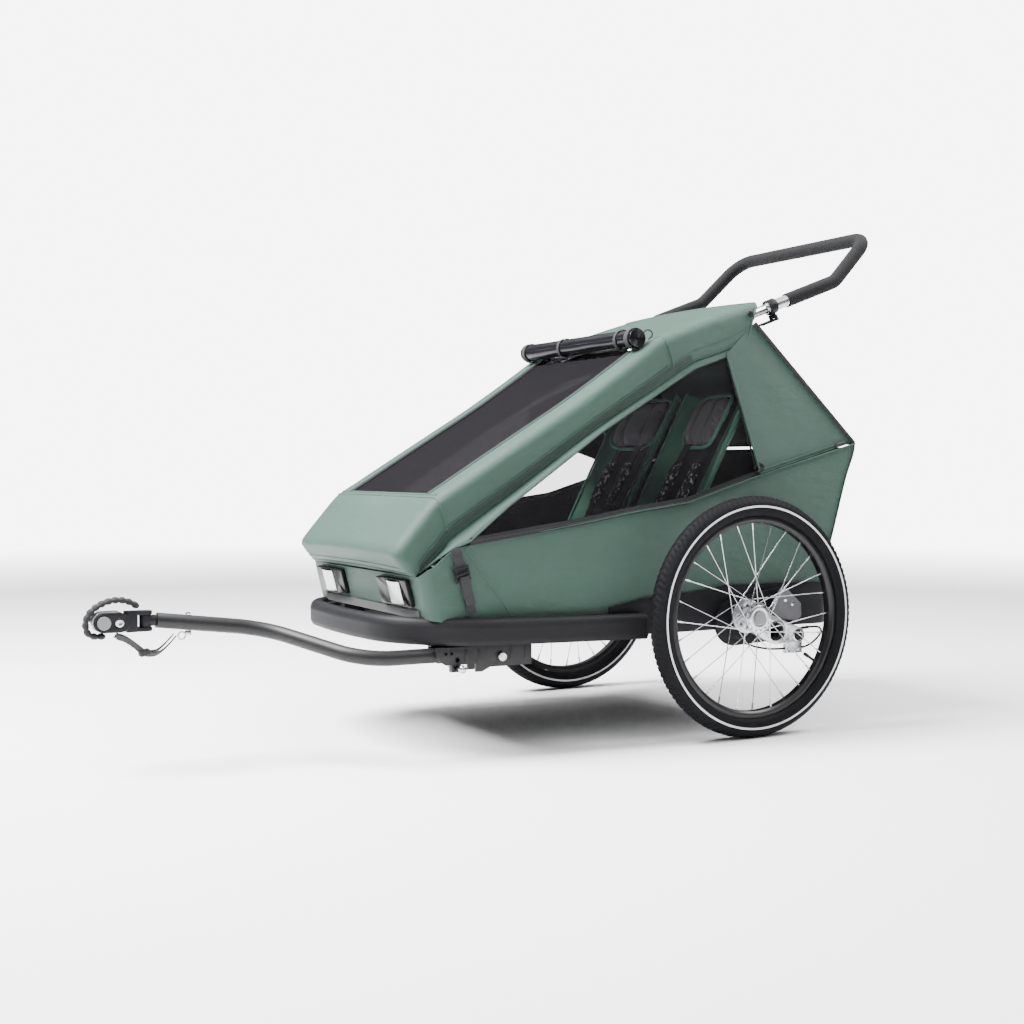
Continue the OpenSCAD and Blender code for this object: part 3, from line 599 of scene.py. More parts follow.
def make_finishes(look):
    green = tuple(look.shell_colour)
    FINISHES.update(
        green=coated_fabric("green_shell", green),
        green_dark=coated_fabric("green_zip_strip", [c * 0.52 for c in green], 0.6, 0.2, 0.5),
        piping=coated_fabric("green_piping", [c * 1.12 for c in green], 0.55, 0.3, 0.3),
        lining=woven("cabin_lining", (0.012, 0.012, 0.014), sheen=0.15),
        hem=woven("grey_hem", (0.036, 0.036, 0.041)),
        seat=woven("seat_green", (0.050, 0.165, 0.108), sheen=0.3),
        seat_piping=woven("seat_piping", (0.085, 0.235, 0.160), sheen=0.4),
        pad=woven("headrest_grey", (0.105, 0.098, 0.110), pitch=300, sheen=0.5),
        seat_mesh=woven("seat_mesh", (0.014, 0.014, 0.016), pitch=260, sheen=0.2),
        fleck=woven("harness_pad", (0.018, 0.018, 0.020), fleck=0.42, fleck_colour=(0.42, 0.42, 0.44)),
        strap=webbing("black_webbing", (0.014, 0.014, 0.016)),
        thread=woven("thread", tuple(c * 0.7 for c in green), sheen=0.1),
        film=window_film("window_film", (0.022, 0.021, 0.024), 0.20),
        roll=moulded("rolled_film", (0.006, 0.006, 0.008), 0.2, 0.2, 0.35),
        screen=mesh_cloth("insect_mesh", (0.0055, 0.0050, 0.0062), 0.93),
        bumper=moulded("bumper_plastic", (0.008, 0.008, 0.0095), 0.55, 0.8, 0.0),
        black=moulded("black_plastic", (0.009, 0.009, 0.011), 0.44),
        gloss=moulded("gloss_black", (0.006, 0.006, 0.007), 0.32, 0.1, 0.1),
        grey=moulded("grey_plastic", (0.115, 0.115, 0.123), 0.46),
        button=moulded("button_grey", (0.18, 0.18, 0.19), 0.38),
        paint=metal("black_powder_coat", (0.008, 0.008, 0.009), 0.48, 0.2, 0.05, 0.8, 0.0),
        tube=metal("anodised_tube", (0.60, 0.61, 0.63), 0.26),
        cast=metal("cast_alloy", (0.56, 0.57, 0.59), 0.33, 0.3, 1.0, 0.9),
        steel=metal("polished_steel", (0.52, 0.53, 0.55), 0.2, 0.3),
        rim=metal("black_rim", (0.006, 0.006, 0.007), 0.34, 0.3, 0.2, 0.2, 0.1),
        tyre=tyre_rubber("tyre_rubber", (0.006, 0.006, 0.007), 0.25, 0.2285, 0.0021),
        rubber=rubbery("soft_rubber", (0.012, 0.012, 0.013)),
        foam=rubbery("grip_foam", (0.006, 0.006, 0.007), 0.78, 200),
        lens=lens_prisms("reflector_lens", (0.60, 0.61, 0.63)),
    )


# --- wheels -----------------------------------------------------------------
WHEEL_Y, AXLE_Z = 382, 250
TYRE_R, TYRE_CENTRE, RIM_R = 23.5, 226.5, 209


def make_tyre(side, s, segments):
    """Tyre with slanted shoulder blocks and a ribbed crown."""
    def place(u, w):
        phi = 2 * math.pi * w
        a = 2 * math.pi * u
        lift = math.sin(phi)  # across the tyre, -1 to 1
        out = math.cos(phi)   # 1 at the crown
        r = TYRE_R
        if out > 0.05:
            lean = (1 if lift > 0 else -1) * abs(lift) * 0.055
            turn = (a + lean * (1 if lift > 0 else -1)) / (2 * math.pi) * 112
            groove = (turn + (0.5 if lift > 0 else 0)) % 1
            crown = abs(lift) < 0.16
            if crown:
                r -= 0.0 if (turn * 0.5) % 1 < 0.86 else 1.3
            elif abs(lift) < 0.26:
                r -= 1.9
            elif abs(lift) < 0.86 and groove > 0.68:
                r -= 2.0 * min(1, (0.9 - abs(lift)) * 5)
        elif out > -0.35:
            r -= 0.5
        q = max(TYRE_CENTRE + r * out, RIM_R + 0.3)
        return at(q * math.cos(a), s * (WHEEL_Y + r * lift), AXLE_Z + q * math.sin(a))
    obj = surface(f"tyre_{side}_tread", segments, 44, place, wrap=True)
    return kept(obj, f"wheel_{side}", FINISHES["tyre"],
                [f"tyre_{side}"], 30)


def make_wheel_details(side, s):
    body = f"wheel_{side}"
    hub_in, hub_out = 358, 404
    y = s * hub_out
    ring = turned(f"hub_ring_{side}",
                  rounded([(20.2, -3.2), (24.5, -3.2), (25.5, -1.0), (23.0, 0.4), (16.2, 0.4),
                                               (15.2, -1.2), (15.2, -2.4)], 0.8, 2) + [(20.2, -3.2)],
                  (0, y, AXLE_Z), s)
    kept(ring, body, FINISHES["steel"])
    # painted shade: closed black dots stand in for the dark inside the flange holes and disc slots, which are not
    # cut
    dots = []
    for k in range(14):
        a = 2 * math.pi * k / 14
        dots.append(turned(f"flange_hole_{side}_{k}", [(0.01, 0.35), (1.6, 0.35), (1.9, 0.0), (0.01, -0.3)],
                           (27.7 * math.cos(a), s * (hub_out - 4), AXLE_Z + 27.7 * math.sin(a)), s, 10))
    for k in range(7):
        a = 2 * math.pi * (k + 0.5) / 7
        dots.append(turned(f"disc_slot_{side}_{k}", [(0.01, -0.4), (3.4, -0.4), (3.9, 0.0), (0.01, 0.3)],
                           (30.2 * math.cos(a), s * hub_in, AXLE_Z + 30.2 * math.sin(a)), s, 14))
    kept(joined(f"hub_hole_shade_dots_{side}", dots), body, FINISHES["gloss"])
    stem = turned(f"valve_{side}",
                  [(0.01, 0), (4.2, 0), (4.2, 3), (3.0, 4), (3.0, 22), (3.9, 23), (3.9, 33), (2.6, 35),
                                    (0.01, 35)], (0, 0, 0), 1, 20)
    a = math.radians(212)
    reach = 193.5
    turn = Matrix.Rotation(a, 4, "Y").inverted() @ Matrix.Rotation(math.radians(90), 4, "Z")
    middle = at(reach * math.cos(a), s * WHEEL_Y, AXLE_Z + reach * math.sin(a))
    stem.data.transform(Matrix.Translation(middle) @ turn @ Matrix.Translation(-at(0, 0, 0)))
    outward(stem)
    kept(stem, body, FINISHES["black"])


class TRAILER_OT_wheels(Operator):
    """Tyres, rims, spokes, hubs and valves"""
    bl_idname = "trailer.wheels"
    bl_label = "Wheels"

    def execute(self, context):
        look = context.scene.trailer_look
        for side, s in SIDES:
            make_tyre(side, s, look.tread_segments)
            refined(f"rim_{side}", FINISHES["rim"], 0.9)
            refined(f"spokes_{side}", FINISHES["steel"], 0)
            refined(f"hub_{side}", FINISHES["cast"], 0.8)
            refined(f"bearings_{side}", FINISHES["steel"], 0.4)
            refined(f"release_cap_{side}", FINISHES["button"], 1.4, 3)
            refined(f"axle_{side}", FINISHES["steel"], 0.5)
            make_wheel_details(side, s)
        return {"FINISHED"}


# --- suspension and base ----------------------------------------------------
class TRAILER_OT_suspension(Operator):
    """Cast arms, carriers, covers, rubber springs and brake cables"""
    bl_idname = "trailer.suspension"
    bl_label = "Suspension"

    def execute(self, context):
        for node in ("carriers", "carrier_covers", "cover_bolts"):
            refined(node,
                    FINISHES[{"carriers": "black", "carrier_covers": "grey", "cover_bolts": "steel"}[node]],
                    {"carriers": 1.2, "carrier_covers": 1.1, "cover_bolts": 0.6}[node], 3)
        for side, s in SIDES:
            refined(f"swing_arm_{side}", FINISHES["cast"], 1.6, 3)
            spring = refined(f"elastomer_{side}", FINISHES["rubber"], 1.6, 3)
            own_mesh(spring)
            arm = f"arm_{side}"
            plate = s * 353
            pieces = []
            for x, z in ((-146, 171), (-118, 171)):
                pieces.append(turned("clamp_bolt",
                                     [(0.01, 0.9), (2.2, 0.9), (2.2, 2.6), (4.4, 2.6), (5.2, 1.9),
                                                    (5.2, -0.8), (0.01, -0.8)], (x, s * 351.5, z), s, 24))
            for r, x, z in ((21.6, -84, 212), (12.0, -142, 201)):
                pieces.append(turned("hole_ring",
                                     [(r - 2.2, -1.2), (r - 2.2, 0.7), (r - 0.6, 1.6), (r + 1.6, 0.9),
                                                   (r + 2.4, -1.2), (r - 2.2, -1.2)], (x, plate, z), s, 48))
            kept(joined(f"arm_fittings_{side}", pieces), arm,
                 FINISHES["steel"])
            web = [(-64, 232), (-22, 246), (-22, 252), (-66, 241)]

            def sunk(u, w):
                x, z = mixed(mixed(web[0], web[1], u), mixed(web[3], web[2], u), w)
                return at(x, plate + s * (0.25 - 0.5 * (1 - abs(2 * w - 1))), z)
            inset = surface(f"arm_pocket_{side}", 12, 4, sunk)
            thicken(inset, 0.6, 0)
            kept(inset, arm, FINISHES["grey"])
            y = 347
            route = [(20, 326, 208), (2, 329, 200), (-20, 333, 188), (-48, 337, 179), (-76, y, 175),
                     (-106, y, 174),
                     (-132, y, 174), (-158, y, 174), (-180, y, 180), (-202, y - 3, 192), (-216, 340, 204),
                     (-214, 334, 213), (-198, 328, 214), (-180, 322, 212), (-164, 316, 210)]
            route = [(x, s * yy, z) for x, yy, z in smooth(route, 70)]
            cable = line_of(f"cable_{side}", route, 2.2, 3)
            ends = [turned("ferrule", [(0.01, -7), (2.9, -7), (3.2, -6), (3.2, 6), (2.9, 7), (0.01, 7)],
                           (0, 0, 0), 1, 16)
                    for _ in range(2)]
            for end, (p, q) in zip(ends, ((route[4], route[5]), (route[-6], route[-5]))):
                direction = Vector(q) - Vector(p)
                end.data.transform(Matrix.Translation(at(*p)) @ direction.to_track_quat("Y",
                                                                                        "Z").to_matrix().to_4x4()
                                   @ Matrix.Translation(-at(0, 0, 0)))
            kept(joined(f"cable_loop_{side}", [cable, *ends]), arm,
                 FINISHES["rubber"],
                 [f"brake_cable_{side}"])
        return {"FINISHED"}


BUMPER_LINE = [(225, 318), (640, 314), (745, 205), (762, 0), (745, -205), (640, -314), (225, -318)]


def bumper_route(count):
    flat = rounded([(x, y, 0) for x, y in BUMPER_LINE], 105, 10, closed=False)
    return [(x, y, 246 + (740 - x) * -0.018) for x, y, _ in spaced(flat, count)]


class TRAILER_OT_bumper(Operator):
    """Moulded bumper with its rolled lip and end fins"""
    bl_idname = "trailer.bumper"
    bl_label = "Bumper"

    def execute(self, context):
        h = 26
        outline = rounded([(-9, -h), (-9, h - 15), (-15, h - 12), (-14, h - 4), (-7, h), (4, h),
                           (11, h - 5), (15, h - 15),
                           (14.2, 2), (14, 8 - h), (10, -h)], 5, 4)
        outline.reverse()
        # the sweep's outward side is to the right of the route
        route = bumper_route(150)[::-1]
        obj = swept("bumper_moulding", route, outline)
        fins = []
        for s in (1, -1):
            for k in range(3):
                x = 229 + k * 9
                fin = start(bpy.ops.mesh.primitive_cube_add, "fin", size=1,
                            location=at(x, s * (318 + 13.2), 238),
                            scale=(3.2 * MM, 3.4 * MM, 30 * MM))
                bevelled(fin, 1.2, 3)
                fins.append(fin)
        kept(joined("bumper_moulding", [obj, *fins]), "chassis", FINISHES["bumper"],
             ["bumper"], 50)
        return {"FINISHED"}


class TRAILER_OT_base(Operator):
    """Base frame, floor, skirt and drawbar channel"""
    bl_idname = "trailer.base"
    bl_label = "Base"

    def execute(self, context):
        refined("base_frame", FINISHES["paint"], 1.0)
        refined("floor_pan", FINISHES["black"], 0.8)
        refined("receiver", FINISHES["paint"], 1.1)
        refined("receiver_bolt", FINISHES["steel"], 0.8)
        # eyelets: a real ring round each hole, with a closed black centre painted as the shade inside the hole,
        # which is not cut
        rings = []
        for x, z, r in ((664, 204, 2.6), (652, 204, 2.6), (640, 191, 4.2)):
            rings.append(turned("eyelet", [(0.01, -0.2), (r, -0.2), (r, 0.5), (r + 0.9, 0.5),
                                           (r + 1.3, -0.4), (0.01, -0.4)],
                                (x, 301.2, z), 1, 20))
        kept(joined("receiver_hole_shade", rings), "chassis", FINISHES["gloss"])
        washer = turned("bolt_face", [(0.01, 1.5), (3.0, 1.5), (3.4, 0.4), (6.2, 0.4), (6.8, 1.0),
                                      (8.4, 0.6), (8.8, -0.6),
                                      (0.01, -0.6)], (545, 306.9, 193), 1, 32)
        kept(washer, "chassis", FINISHES["steel"])
        top = [(300, 276), (224, 290), (96, 299), (8, 310), (-130, 310), (-239, 308), (-256, 305)]
        plan = rounded([(300, 300.2), (-269.2, 300.2), (-269.2, 0)], 26, 8, closed=False)
        plan = spaced(plan, 110)
        plan = plan + [(x, -y) for x, y in reversed(plan[:-1])]

        def place(u, w):
            x, y = along(plan, u)
            high = next((mixed(a, b, (a[0] - x) / (a[0] - b[0]))[1] for a,
                         b in zip(top, top[1:]) if b[0] <= x <= a[0]), 300)
            high = min(high, 294 + max(0, (abs(y) - 270) / 30) * 12) if x < -256 else high
            low = 217 + max(0, (-x - 250) / 20) * 4
            return at(x + (w - 0.5) * (-2 if x < -255 else 0), y, low + (high - low) * w)
        skirt = surface("skirt_panel", len(plan) - 1, 6, place)
        thicken(skirt, 3, 0)
        bevelled(outward(skirt), 0.8)
        kept(skirt, "chassis", FINISHES["black"], ["skirt"])
        return {"FINISHED"}


# --- fabric body ------------------------------------------------------------
REAR_EDGE = [(-256, 262), (-262, 300), (-260, 341), (-284, 416), (-318, 530), (-340, 586), (-345, 611)]


class TRAILER_OT_tub(Operator):
    """Lower fabric body with its seams, hem and front reflectors"""
    bl_idname = "trailer.tub"
    bl_label = "Lower body"

    def execute(self, context):
        tops = [(-345, 611), (-321, 604), (-201, 572.5), (-81, 541), (10, 513), (102, 485), (173, 475.5),
                (244, 466),
                (303, 456), (362, 446), (445, 433.7), (530, 421.2), (613, 409), (644, 403), (668, 385),
                (690, 366)]
        tops = spaced(tops, 60)
        bottoms = spaced([(-256, 262), (668, 264)], 60)
        corner_r = 27

        def side_point(u, w):
            """Point of the side wall: u from rear to front, w from bottom to top."""
            low, high = along(bottoms, u), along(tops, u)
            x, z = mixed(low, high, w)
            edge = along(smooth(REAR_EDGE, 40), w)
            pull = max(0, 1 - u * 5) ** 2
            x += (edge[0] - mixed((-256, 262), (-345, 611), w)[0]) * pull
            puff = 3.2 * math.sin(math.pi * min(1, w * 1.05)) * math.sin(math.pi * min(max(u, 0.02),
                                                                                       0.98)) ** 0.5
            return x, 296.3 + puff * 0.5 - 1.0, z

        def place(u, w):
            s = 1 if u < 0.5 else -1
            v = u if u < 0.5 else 1 - u
            share = v / 0.5
            wall, arc = 0.62, 0.72
            if share <= wall:
                x, y, z = side_point(share / wall, w)
                return at(x, s * y, z)
            x0, y0, z0 = side_point(1, w)
            depth = corner_r
            front = mixed((692.5, 268), (712, 349), w)
            if share <= arc:
                t = (share - wall) / (arc - wall) * math.pi / 2
                x = x0 + (front[0] - x0) * math.sin(t)
                y = y0 - depth * (1 - math.cos(t))
                return at(x, s * y, z0 + (front[1] - z0) * math.sin(t) ** 2)
            t = (share - arc) / (1 - arc)
            y = (y0 - depth) * (1 - t)
            bow = 3.0 * (1 - (y / 270) ** 2) * math.sin(math.pi * w)
            return at(front[0] + bow * 0.6, s * y, front[1])
        obj = surface("tub_fabric", 220, 22, place)
        weld(obj)
        kept(lined(outward(obj)), "chassis", [FINISHES["green"], FINISHES["lining"]],
             ["tub"], 60)
        trims, threads = [], []
        for s in (1, -1):
            edge = [(x, s * 298.2, z + 1) for x, z in spaced(tops, 90)[:78]]
            trims.append(line_of("sill_piping", edge, 1.7, 2))
            threads.append(stitches("sill_thread",
                                    [(x, s * 298.4, z - 7) for x, z in spaced(tops, 90)[2:76]]))
            seam = smooth([(622, s * 298.6, 402), (600, s * 298.9, 372), (566, s * 299.0, 330),
                           (520, s * 298.8, 268)], 30)
            trims.append(line_of("side_seam", seam, 0.9, 2))
            back = smooth([(x + 1, s * 297.4, z) for x, z in REAR_EDGE], 40)
            trims.append(line_of("rear_seam", back, 1.5, 2))
            frame_line = rounded([(100, 290), (212, 290), (216, 345), (104, 345)], 6, 4)

            def wall_x(z):
                return 692.5 + 19.5 * (z - 268) / 81 + 2.4
            trims.append(line_of("bracket_outline", [(wall_x(z), s * y, z) for y, z in frame_line], 0.9, 2,
                                 True))
        kept(joined("tub_piping", trims), "chassis", FINISHES["piping"])
        kept(joined("tub_stitches", threads), "chassis", FINISHES["thread"])
        hem = surface("front_hem", 60, 3, lambda u, w: at(694 + 4.5 * w, 252 * (1 - 2 * u), 266 + 17 * w))
        thicken(hem, 1.2, 0)
        kept(outward(hem), "chassis", FINISHES["hem"])
        refined("reflector_housings", FINISHES["gloss"], 2.2, 3)
        tilt = Matrix.Rotation(math.radians(15), 4, "Y")
        for side, s in SIDES:
            base = Vector((702.6, 0, 318))

            def bowed(u, w):
                y = 147 + 60 * u
                depth = 13.2 + 3.4 * math.sin(math.pi * u) ** 0.7
                local = tilt.to_3x3() @ Vector((depth, 0, -22.5 + 45 * w))
                return at(base.x + local.x, s * y, base.z + local.z)
            lens = surface(f"lens_{side}", 24, 12, bowed)
            outward(lens) if s > 0 else edit(lens, (bpy.ops.mesh.flip_normals, {}))
            modify(lens, "SOLIDIFY", thickness=2.2 * MM, offset=-1)
            outward(lens)
            kept(bevelled(lens, 0.5), "chassis", FINISHES["lens"],
                 ["reflector_lenses"] if s > 0 else ())
        return {"FINISHED"}


# --- roof -------------------------------------------------------------------
# Top line of the roof and the lower edge of its side, matched point by point, in x and z
ROOF_LINES = [
    ((712, 349), (704, 359)), ((728, 359), (698, 362)), ((746, 380), (688, 369)), ((753, 396), (676, 379)),
    ((736, 420), (664, 390)), ((700, 462), (652, 402)), ((676, 489), (646, 411)), ((655, 506), (634, 422)),
    ((620, 527), (600, 444)), ((578, 553), (560, 470)), ((529, 583), (514, 499.5)),
    ((440, 637), (430, 555.5)),
    ((356, 688), (340, 616)), ((290, 731), (270, 659)), ((228, 773), (205, 697)),
    ((185, 803), (165, 720.5)),
    ((150, 827), (128, 743)), ((100, 847), (72, 775)), ((49, 866), (20, 792)), ((0, 883), (-19, 806)),
    ((-40, 896), (-50, 823)), ((-72, 906), (-72, 843)), ((-98, 914), (-84, 884)),
]
ROOF_Y = 269
SCREEN_Y = 201
SCREEN_FROM, SCREEN_TO = 7, 15.7  # shares of ROOF_LINES between which the insect screen is set in


def roof_section(k, w):
    """Point of the roof at station k and share w across it, from the left lower edge to the right one."""
    top, low = (Vector(p) for p in (along([q[0] for q in ROOF_LINES], k / (len(ROOF_LINES) - 1)),
                                    along([q[1] for q in ROOF_LINES], k / (len(ROOF_LINES) - 1))))
    s = 1 if w < 0.5 else -1
    v = w * 2 if w < 0.5 else (1 - w) * 2
    up = (top - low).normalized()
    height = (top - low).length
    radius = min(24, height * 0.6)
    wall, arc = 0.26, 0.42
    if v < wall:
        t = v / wall
        p = low + up * (height - radius) * t
        return p.x, s * (ROOF_Y + 1.5 * math.sin(math.pi * t) - 1.2), p.y
    if v < arc:
        t = (v - wall) / (arc - wall) * math.pi / 2
        p = top - up * radius * (1 - math.sin(t))
        return p.x, s * (ROOF_Y - 1.2 - radius * (1 - math.cos(t))), p.y
    t = (v - arc) / (1 - arc)
    inner = (ROOF_Y - 1.2 - radius) * (1 - t)
    if SCREEN_FROM <= k <= SCREEN_TO:
        lift = 0
    elif k > SCREEN_TO:
        lift = 5 * (1 - (inner / 245) ** 2) * min(1, (k - SCREEN_TO) / 2)
    else:
        lift = 3.5 * (1 - (inner / 245) ** 2) * min(1, (SCREEN_FROM - k) / 3)
    return top.x + lift * 0.3, s * inner, top.y + lift


class TRAILER_OT_roof(Operator):
    """Hood, side bands and rear roof in one sheet, with screen, zips and piping"""
    bl_idname = "trailer.roof"
    bl_label = "Roof"

    def execute(self, context):
        fine = smooth([(*a, *b) for a, b in ROOF_LINES], 110)
        lines = [((p[0], p[1]), (p[2], p[3])) for p in fine]
        count = len(lines) - 1

        def place(u, w):
            i = u * count
            # a fine station borrows its cross-section from the place nearest to it on the coarse line
            top, low = lines[round(i)]
            k = nearest_station(top)
            x, y, z = roof_section(k, w)
            t0 = along([q[0] for q in ROOF_LINES], k / (len(ROOF_LINES) - 1))
            l0 = along([q[1] for q in ROOF_LINES], k / (len(ROOF_LINES) - 1))
            v = 1 - abs(2 * w - 1)
            blend = min(1, v / 0.42)
            dx = (top[0] - t0[0]) * blend + (low[0] - l0[0]) * (1 - blend)
            dz = (top[1] - t0[1]) * blend + (low[1] - l0[1]) * (1 - blend)
            return at(x + dx, y, z + dz)

        def nearest_station(p):
            best = (1e9, 0)
            for i in range(len(ROOF_LINES) - 1):
                a, b = Vector(ROOF_LINES[i][0]), Vector(ROOF_LINES[i + 1][0])
                t = min(1, max(0, (Vector(p) - a).dot(b - a) / (b - a).length_squared))
                best = min(best, ((Vector(p) - a.lerp(b, t)).length, i + t))
            return best[1]
        obj = surface("roof_fabric", count, 72, place)
        high = [at(*p) for p in ((652, 0, 0), (163, 0, 0))]
        cut_out(obj, lambda c: abs(c.y) < SCREEN_Y * MM and high[1].x < c.x < high[0].x and c.z > 0.48)
        rng = random.Random(4)
        hem = at(706, 0, 356)
        for vertex in obj.data.vertices:
            # puckers where the front hem is gathered
            near = max(0, 1 - (vertex.co - Vector((hem.x, vertex.co.y, hem.z))).length / 0.022)
            vertex.co.x += near * 0.0016 * math.sin(vertex.co.y * 330) * rng.uniform(0.6, 1)
        outward(obj)
        if sum(f.normal.z for f in obj.data.polygons) < 0:
            edit(obj, (bpy.ops.mesh.flip_normals, {}))
        kept(lined(obj), "roof", [FINISHES["green"], FINISHES["lining"]],
             ["canopy", "front_hood"], 60)
        self.trims()
        self.screen()
        self.roll()
        return {"FINISHED"}

    def trims(self):
        """Piping, zip strips, seams and stitches of the roof."""
        low = [q[1] for q in ROOF_LINES]
        high = [q[0] for q in ROOF_LINES]
        piping, strips, threads, zips = [], [], [], []
        inner = smooth(low[:20], 120)
        outer = spaced([(702, 361), (690, 367), (668, 386), (644, 404), (613, 416), (529, 481), (302, 633),
                        (172, 708),
                        (75, 765), (-30, 800)], 120)
        for s in (1, -1):
            def place(u, w):
                x, z = mixed(along(inner, u), along(outer, u), w)
                share = min(1, u * 9)
                y = 267.6 + (window_y(along(outer, u)[1]) + 2.2 - 267.6) * math.sin(w * math.pi / 2) * share
                return at(x, s * y, z + 2.4 * math.sin(math.pi * w))
            gusset = surface("roof_gusset", 120, 8, place)
            thicken(gusset, 1.8, 0)
            gussets = [outward(gusset)]
            rim = [(x, s * (267.6 + (window_y(z) + 2.6 - 267.6) * min(1, i / 120 * 9)), z + 0.6)
                   for i, (x, z) in enumerate(outer)]
            gussets.append(line_of("gusset_piping", rim, 1.8, 2))
            kept(joined("roof_gusset_left" if s > 0 else "roof_gusset_right", gussets), "chassis",
                 FINISHES["green"], folds=True)
        for s in (1, -1):
            edge = smooth(low, 150)
            piping.append(line_of("edge_piping", [(x, s * (ROOF_Y + 0.4), z) for x, z in edge], 2.0, 2))
            second = smooth([mixed(a, b, 0.075) for a, b in zip(low, high)], 150)
            piping.append(line_of("edge_piping", [(x, s * (ROOF_Y + 0.6), z) for x, z in second], 1.2, 2))
            third = smooth([mixed(a, b, 0.30) for a, b in zip(low, high)][1:17], 130)
            piping.append(line_of("zip_fold", [(x, s * (ROOF_Y + 1.4), z) for x, z in third], 1.1, 2))
            a = smooth([mixed(p, q, 0.12) for p, q in zip(low, high)][1:18], 120)
            b = smooth([mixed(p, q, 0.27) for p, q in zip(low, high)][1:18], 120)
            strip = surface("zip_strip", 120, 4, lambda u, w: at(
                mixed(along(a, u), along(b, u), w)[0], s * (ROOF_Y + 1.2 + 0.5 * math.sin(math.pi * w)),
                mixed(along(a, u), along(b, u), w)[1]))
            thicken(strip, 0.8, 0)
            strips.append(outward(strip))
            mid = smooth([mixed(p, q, 0.2) for p, q in zip(low, high)][1:18], 150)
            zips.append(line_of("zip_teeth", [(x, s * (ROOF_Y + 1.9), z) for x, z in mid], 0.9, 1))
            threads.append(stitches("edge_thread", [(x, s * (ROOF_Y + 1.0), z) for x, z in
                                                    smooth([mixed(p, q, 0.33) for p,
                                                            q in zip(low, high)][2:22], 140)]))
            # seam across the side from the hood to the band, and the sleeve seam at the rear
            for k, name in ((6.6, "hood_seam"), (16.2, "sleeve_seam")):
                line = [roof_section(k,
                                     (w if s > 0 else 1 - w)) for w in [i / 60 * 0.5 for i in range(1, 60)]]
                line = [(x + 0.3, y + s * 0.7 * (1 if i < 22 else 0), z + 0.7 * (i > 12)) for i,
                        (x, y, z) in enumerate(line)]
                piping.append(line_of(name, line, 1.3, 2))
            inner = smooth([(*high[k], 0) for k in range(7, 16)], 90)
            piping.append(line_of("screen_edge", [(x, s * (SCREEN_Y + 3), z + 0.8) for x, z, _ in inner],
                                  2.0, 2))
            zips.append(line_of("screen_zip", [(x, s * (SCREEN_Y - 4), z + 0.2) for x, z, _ in inner], 1.8,
                                1))
            zips.append(line_of("screen_zip", [(x, s * (SCREEN_Y - 9), z - 0.2) for x, z, _ in inner], 1.0,
                                1))
            snap = turned("rear_snap", [(0.01, 3.2), (4.5, 3.0), (6.2, 1.8), (6.6, 0), (0.01, -0.5)],
                          (-76, s * (ROOF_Y + 0.2), 888), s, 24)
            kept(snap, "roof", FINISHES["black"])
        across = [roof_section(k, w) for k, w in [(6.9, 0.21 + 0.58 * i / 40) for i in range(41)]]
        piping.append(line_of("hood_top_edge", [(x - 1, y, z + 0.8) for x, y, z in across], 1.7, 2))
        rear = [roof_section(22, 0.02 + 0.96 * i / 80) for i in range(81)]
        piping.append(line_of("rear_hem", [(x - 0.6, y, z) for x, y, z in rear], 2.2, 2))
        for k in (0.25, 0.8, 1.35):
            row = [roof_section(k, 0.2 + 0.6 * i / 60) for i in range(61)]
            threads.append(stitches("hem_thread", [(x + 1.2, y, z - 0.6) for x, y, z in row], 5, 3.4, 0.8))
        kept(joined("roof_piping", piping), "roof", FINISHES["piping"])
        kept(joined("roof_zip_strips", strips), "roof", FINISHES["green_dark"])
        kept(joined("roof_stitches", threads), "roof", FINISHES["thread"])
        kept(joined("roof_zips", zips), "roof", FINISHES["strap"])

    def screen(self):
        """Insect screen between the side bands."""
        line = smooth([q[0] for q in ROOF_LINES[7:17]], 60)[:56]

        def place(u, w):
            x, z = along(line, u)
            y = (SCREEN_Y + 1) * (1 - 2 * w)
            sag = 5 * (1 - (y / SCREEN_Y) ** 2) * math.sin(math.pi * u)
            return at(x - sag * 0.5, y, z - 2.6 - sag * 0.8)
        obj = surface("insect_screen", 56, 40, place)
        if obj.data.polygons[0].normal.z < 0:
            edit(obj, (bpy.ops.mesh.flip_normals, {}))
        thicken(obj, 0.8, -1)
        kept(outward(obj), "roof", FINISHES["screen"], ["mesh_screen"], 60)
        length = sum(math.dist(p, q) for p, q in zip(line, line[1:])) * MM

    def roll(self):
        """Rolled weather cover with end bands, ties and a spiral at each end."""
        centre = (190, 827)
        rng = random.Random(11)
        waves = [(rng.uniform(0.08, 0.2), rng.randint(2, 4), rng.uniform(0, 6)) for _ in range(6)]

        def place(u, w):
            a = 2 * math.pi * w
            y = -236 + 472 * u
            r = 19.6 + 0.5 * math.sin(a + 0.6) + sum(h * math.sin(n * a + f + y * 0.01 * n) for h, n,
                                                     f in waves) * 0.5
            if 0.02 < w < 0.09:
                r += 1.3
            return at(centre[0] + r * math.cos(a), y, centre[1] + r * math.sin(a))
        body = surface("cover_roll_film", 80, 72, place)
        weld(body)
        outward(body)
        ends = []
        for s in (1, -1):
            spiral = [(centre[0] + r * math.cos(t), s * (236 - (20 - r) * 0.12),
                       centre[1] + r * math.sin(t)) for r, t in
                      ((2.5 + 17.3 * i / 150, i / 150 * 5.2 * 2 * math.pi) for i in range(151))]
            ends.append(line_of("roll_end", spiral, 1.5, 2))
            ends.append(turned("roll_face", [(0.01, 0), (19.3, 0), (19.3, -3), (0.01, -3)],
                               (centre[0], s * 233, centre[1]), s, 48))
        kept(joined("cover_roll_film", [body, *ends]), "roof", FINISHES["roll"],
             ["cover_roll"], 50)
        bands = []
        for y, width in ((-222, 14), (222, 14), (178, 9), (-60, 9)):
            loop = [(centre[0] + 21.6 * math.cos(a), y, centre[1] + 21.6 * math.sin(a)) for a in
                    [2 * math.pi * i / 48 for i in range(49)]]
            bands.append(ribbon("roll_band", loop, (0, 1, 0), width, 1.6))
            weld(bands[-1])
        hook = smooth([(172, 226, 838), (164, 232, 846), (156, 236, 842), (154, 236, 834), (162, 234, 826)],
                      24)
        bands.append(line_of("roll_hook", hook, 1.6, 2))
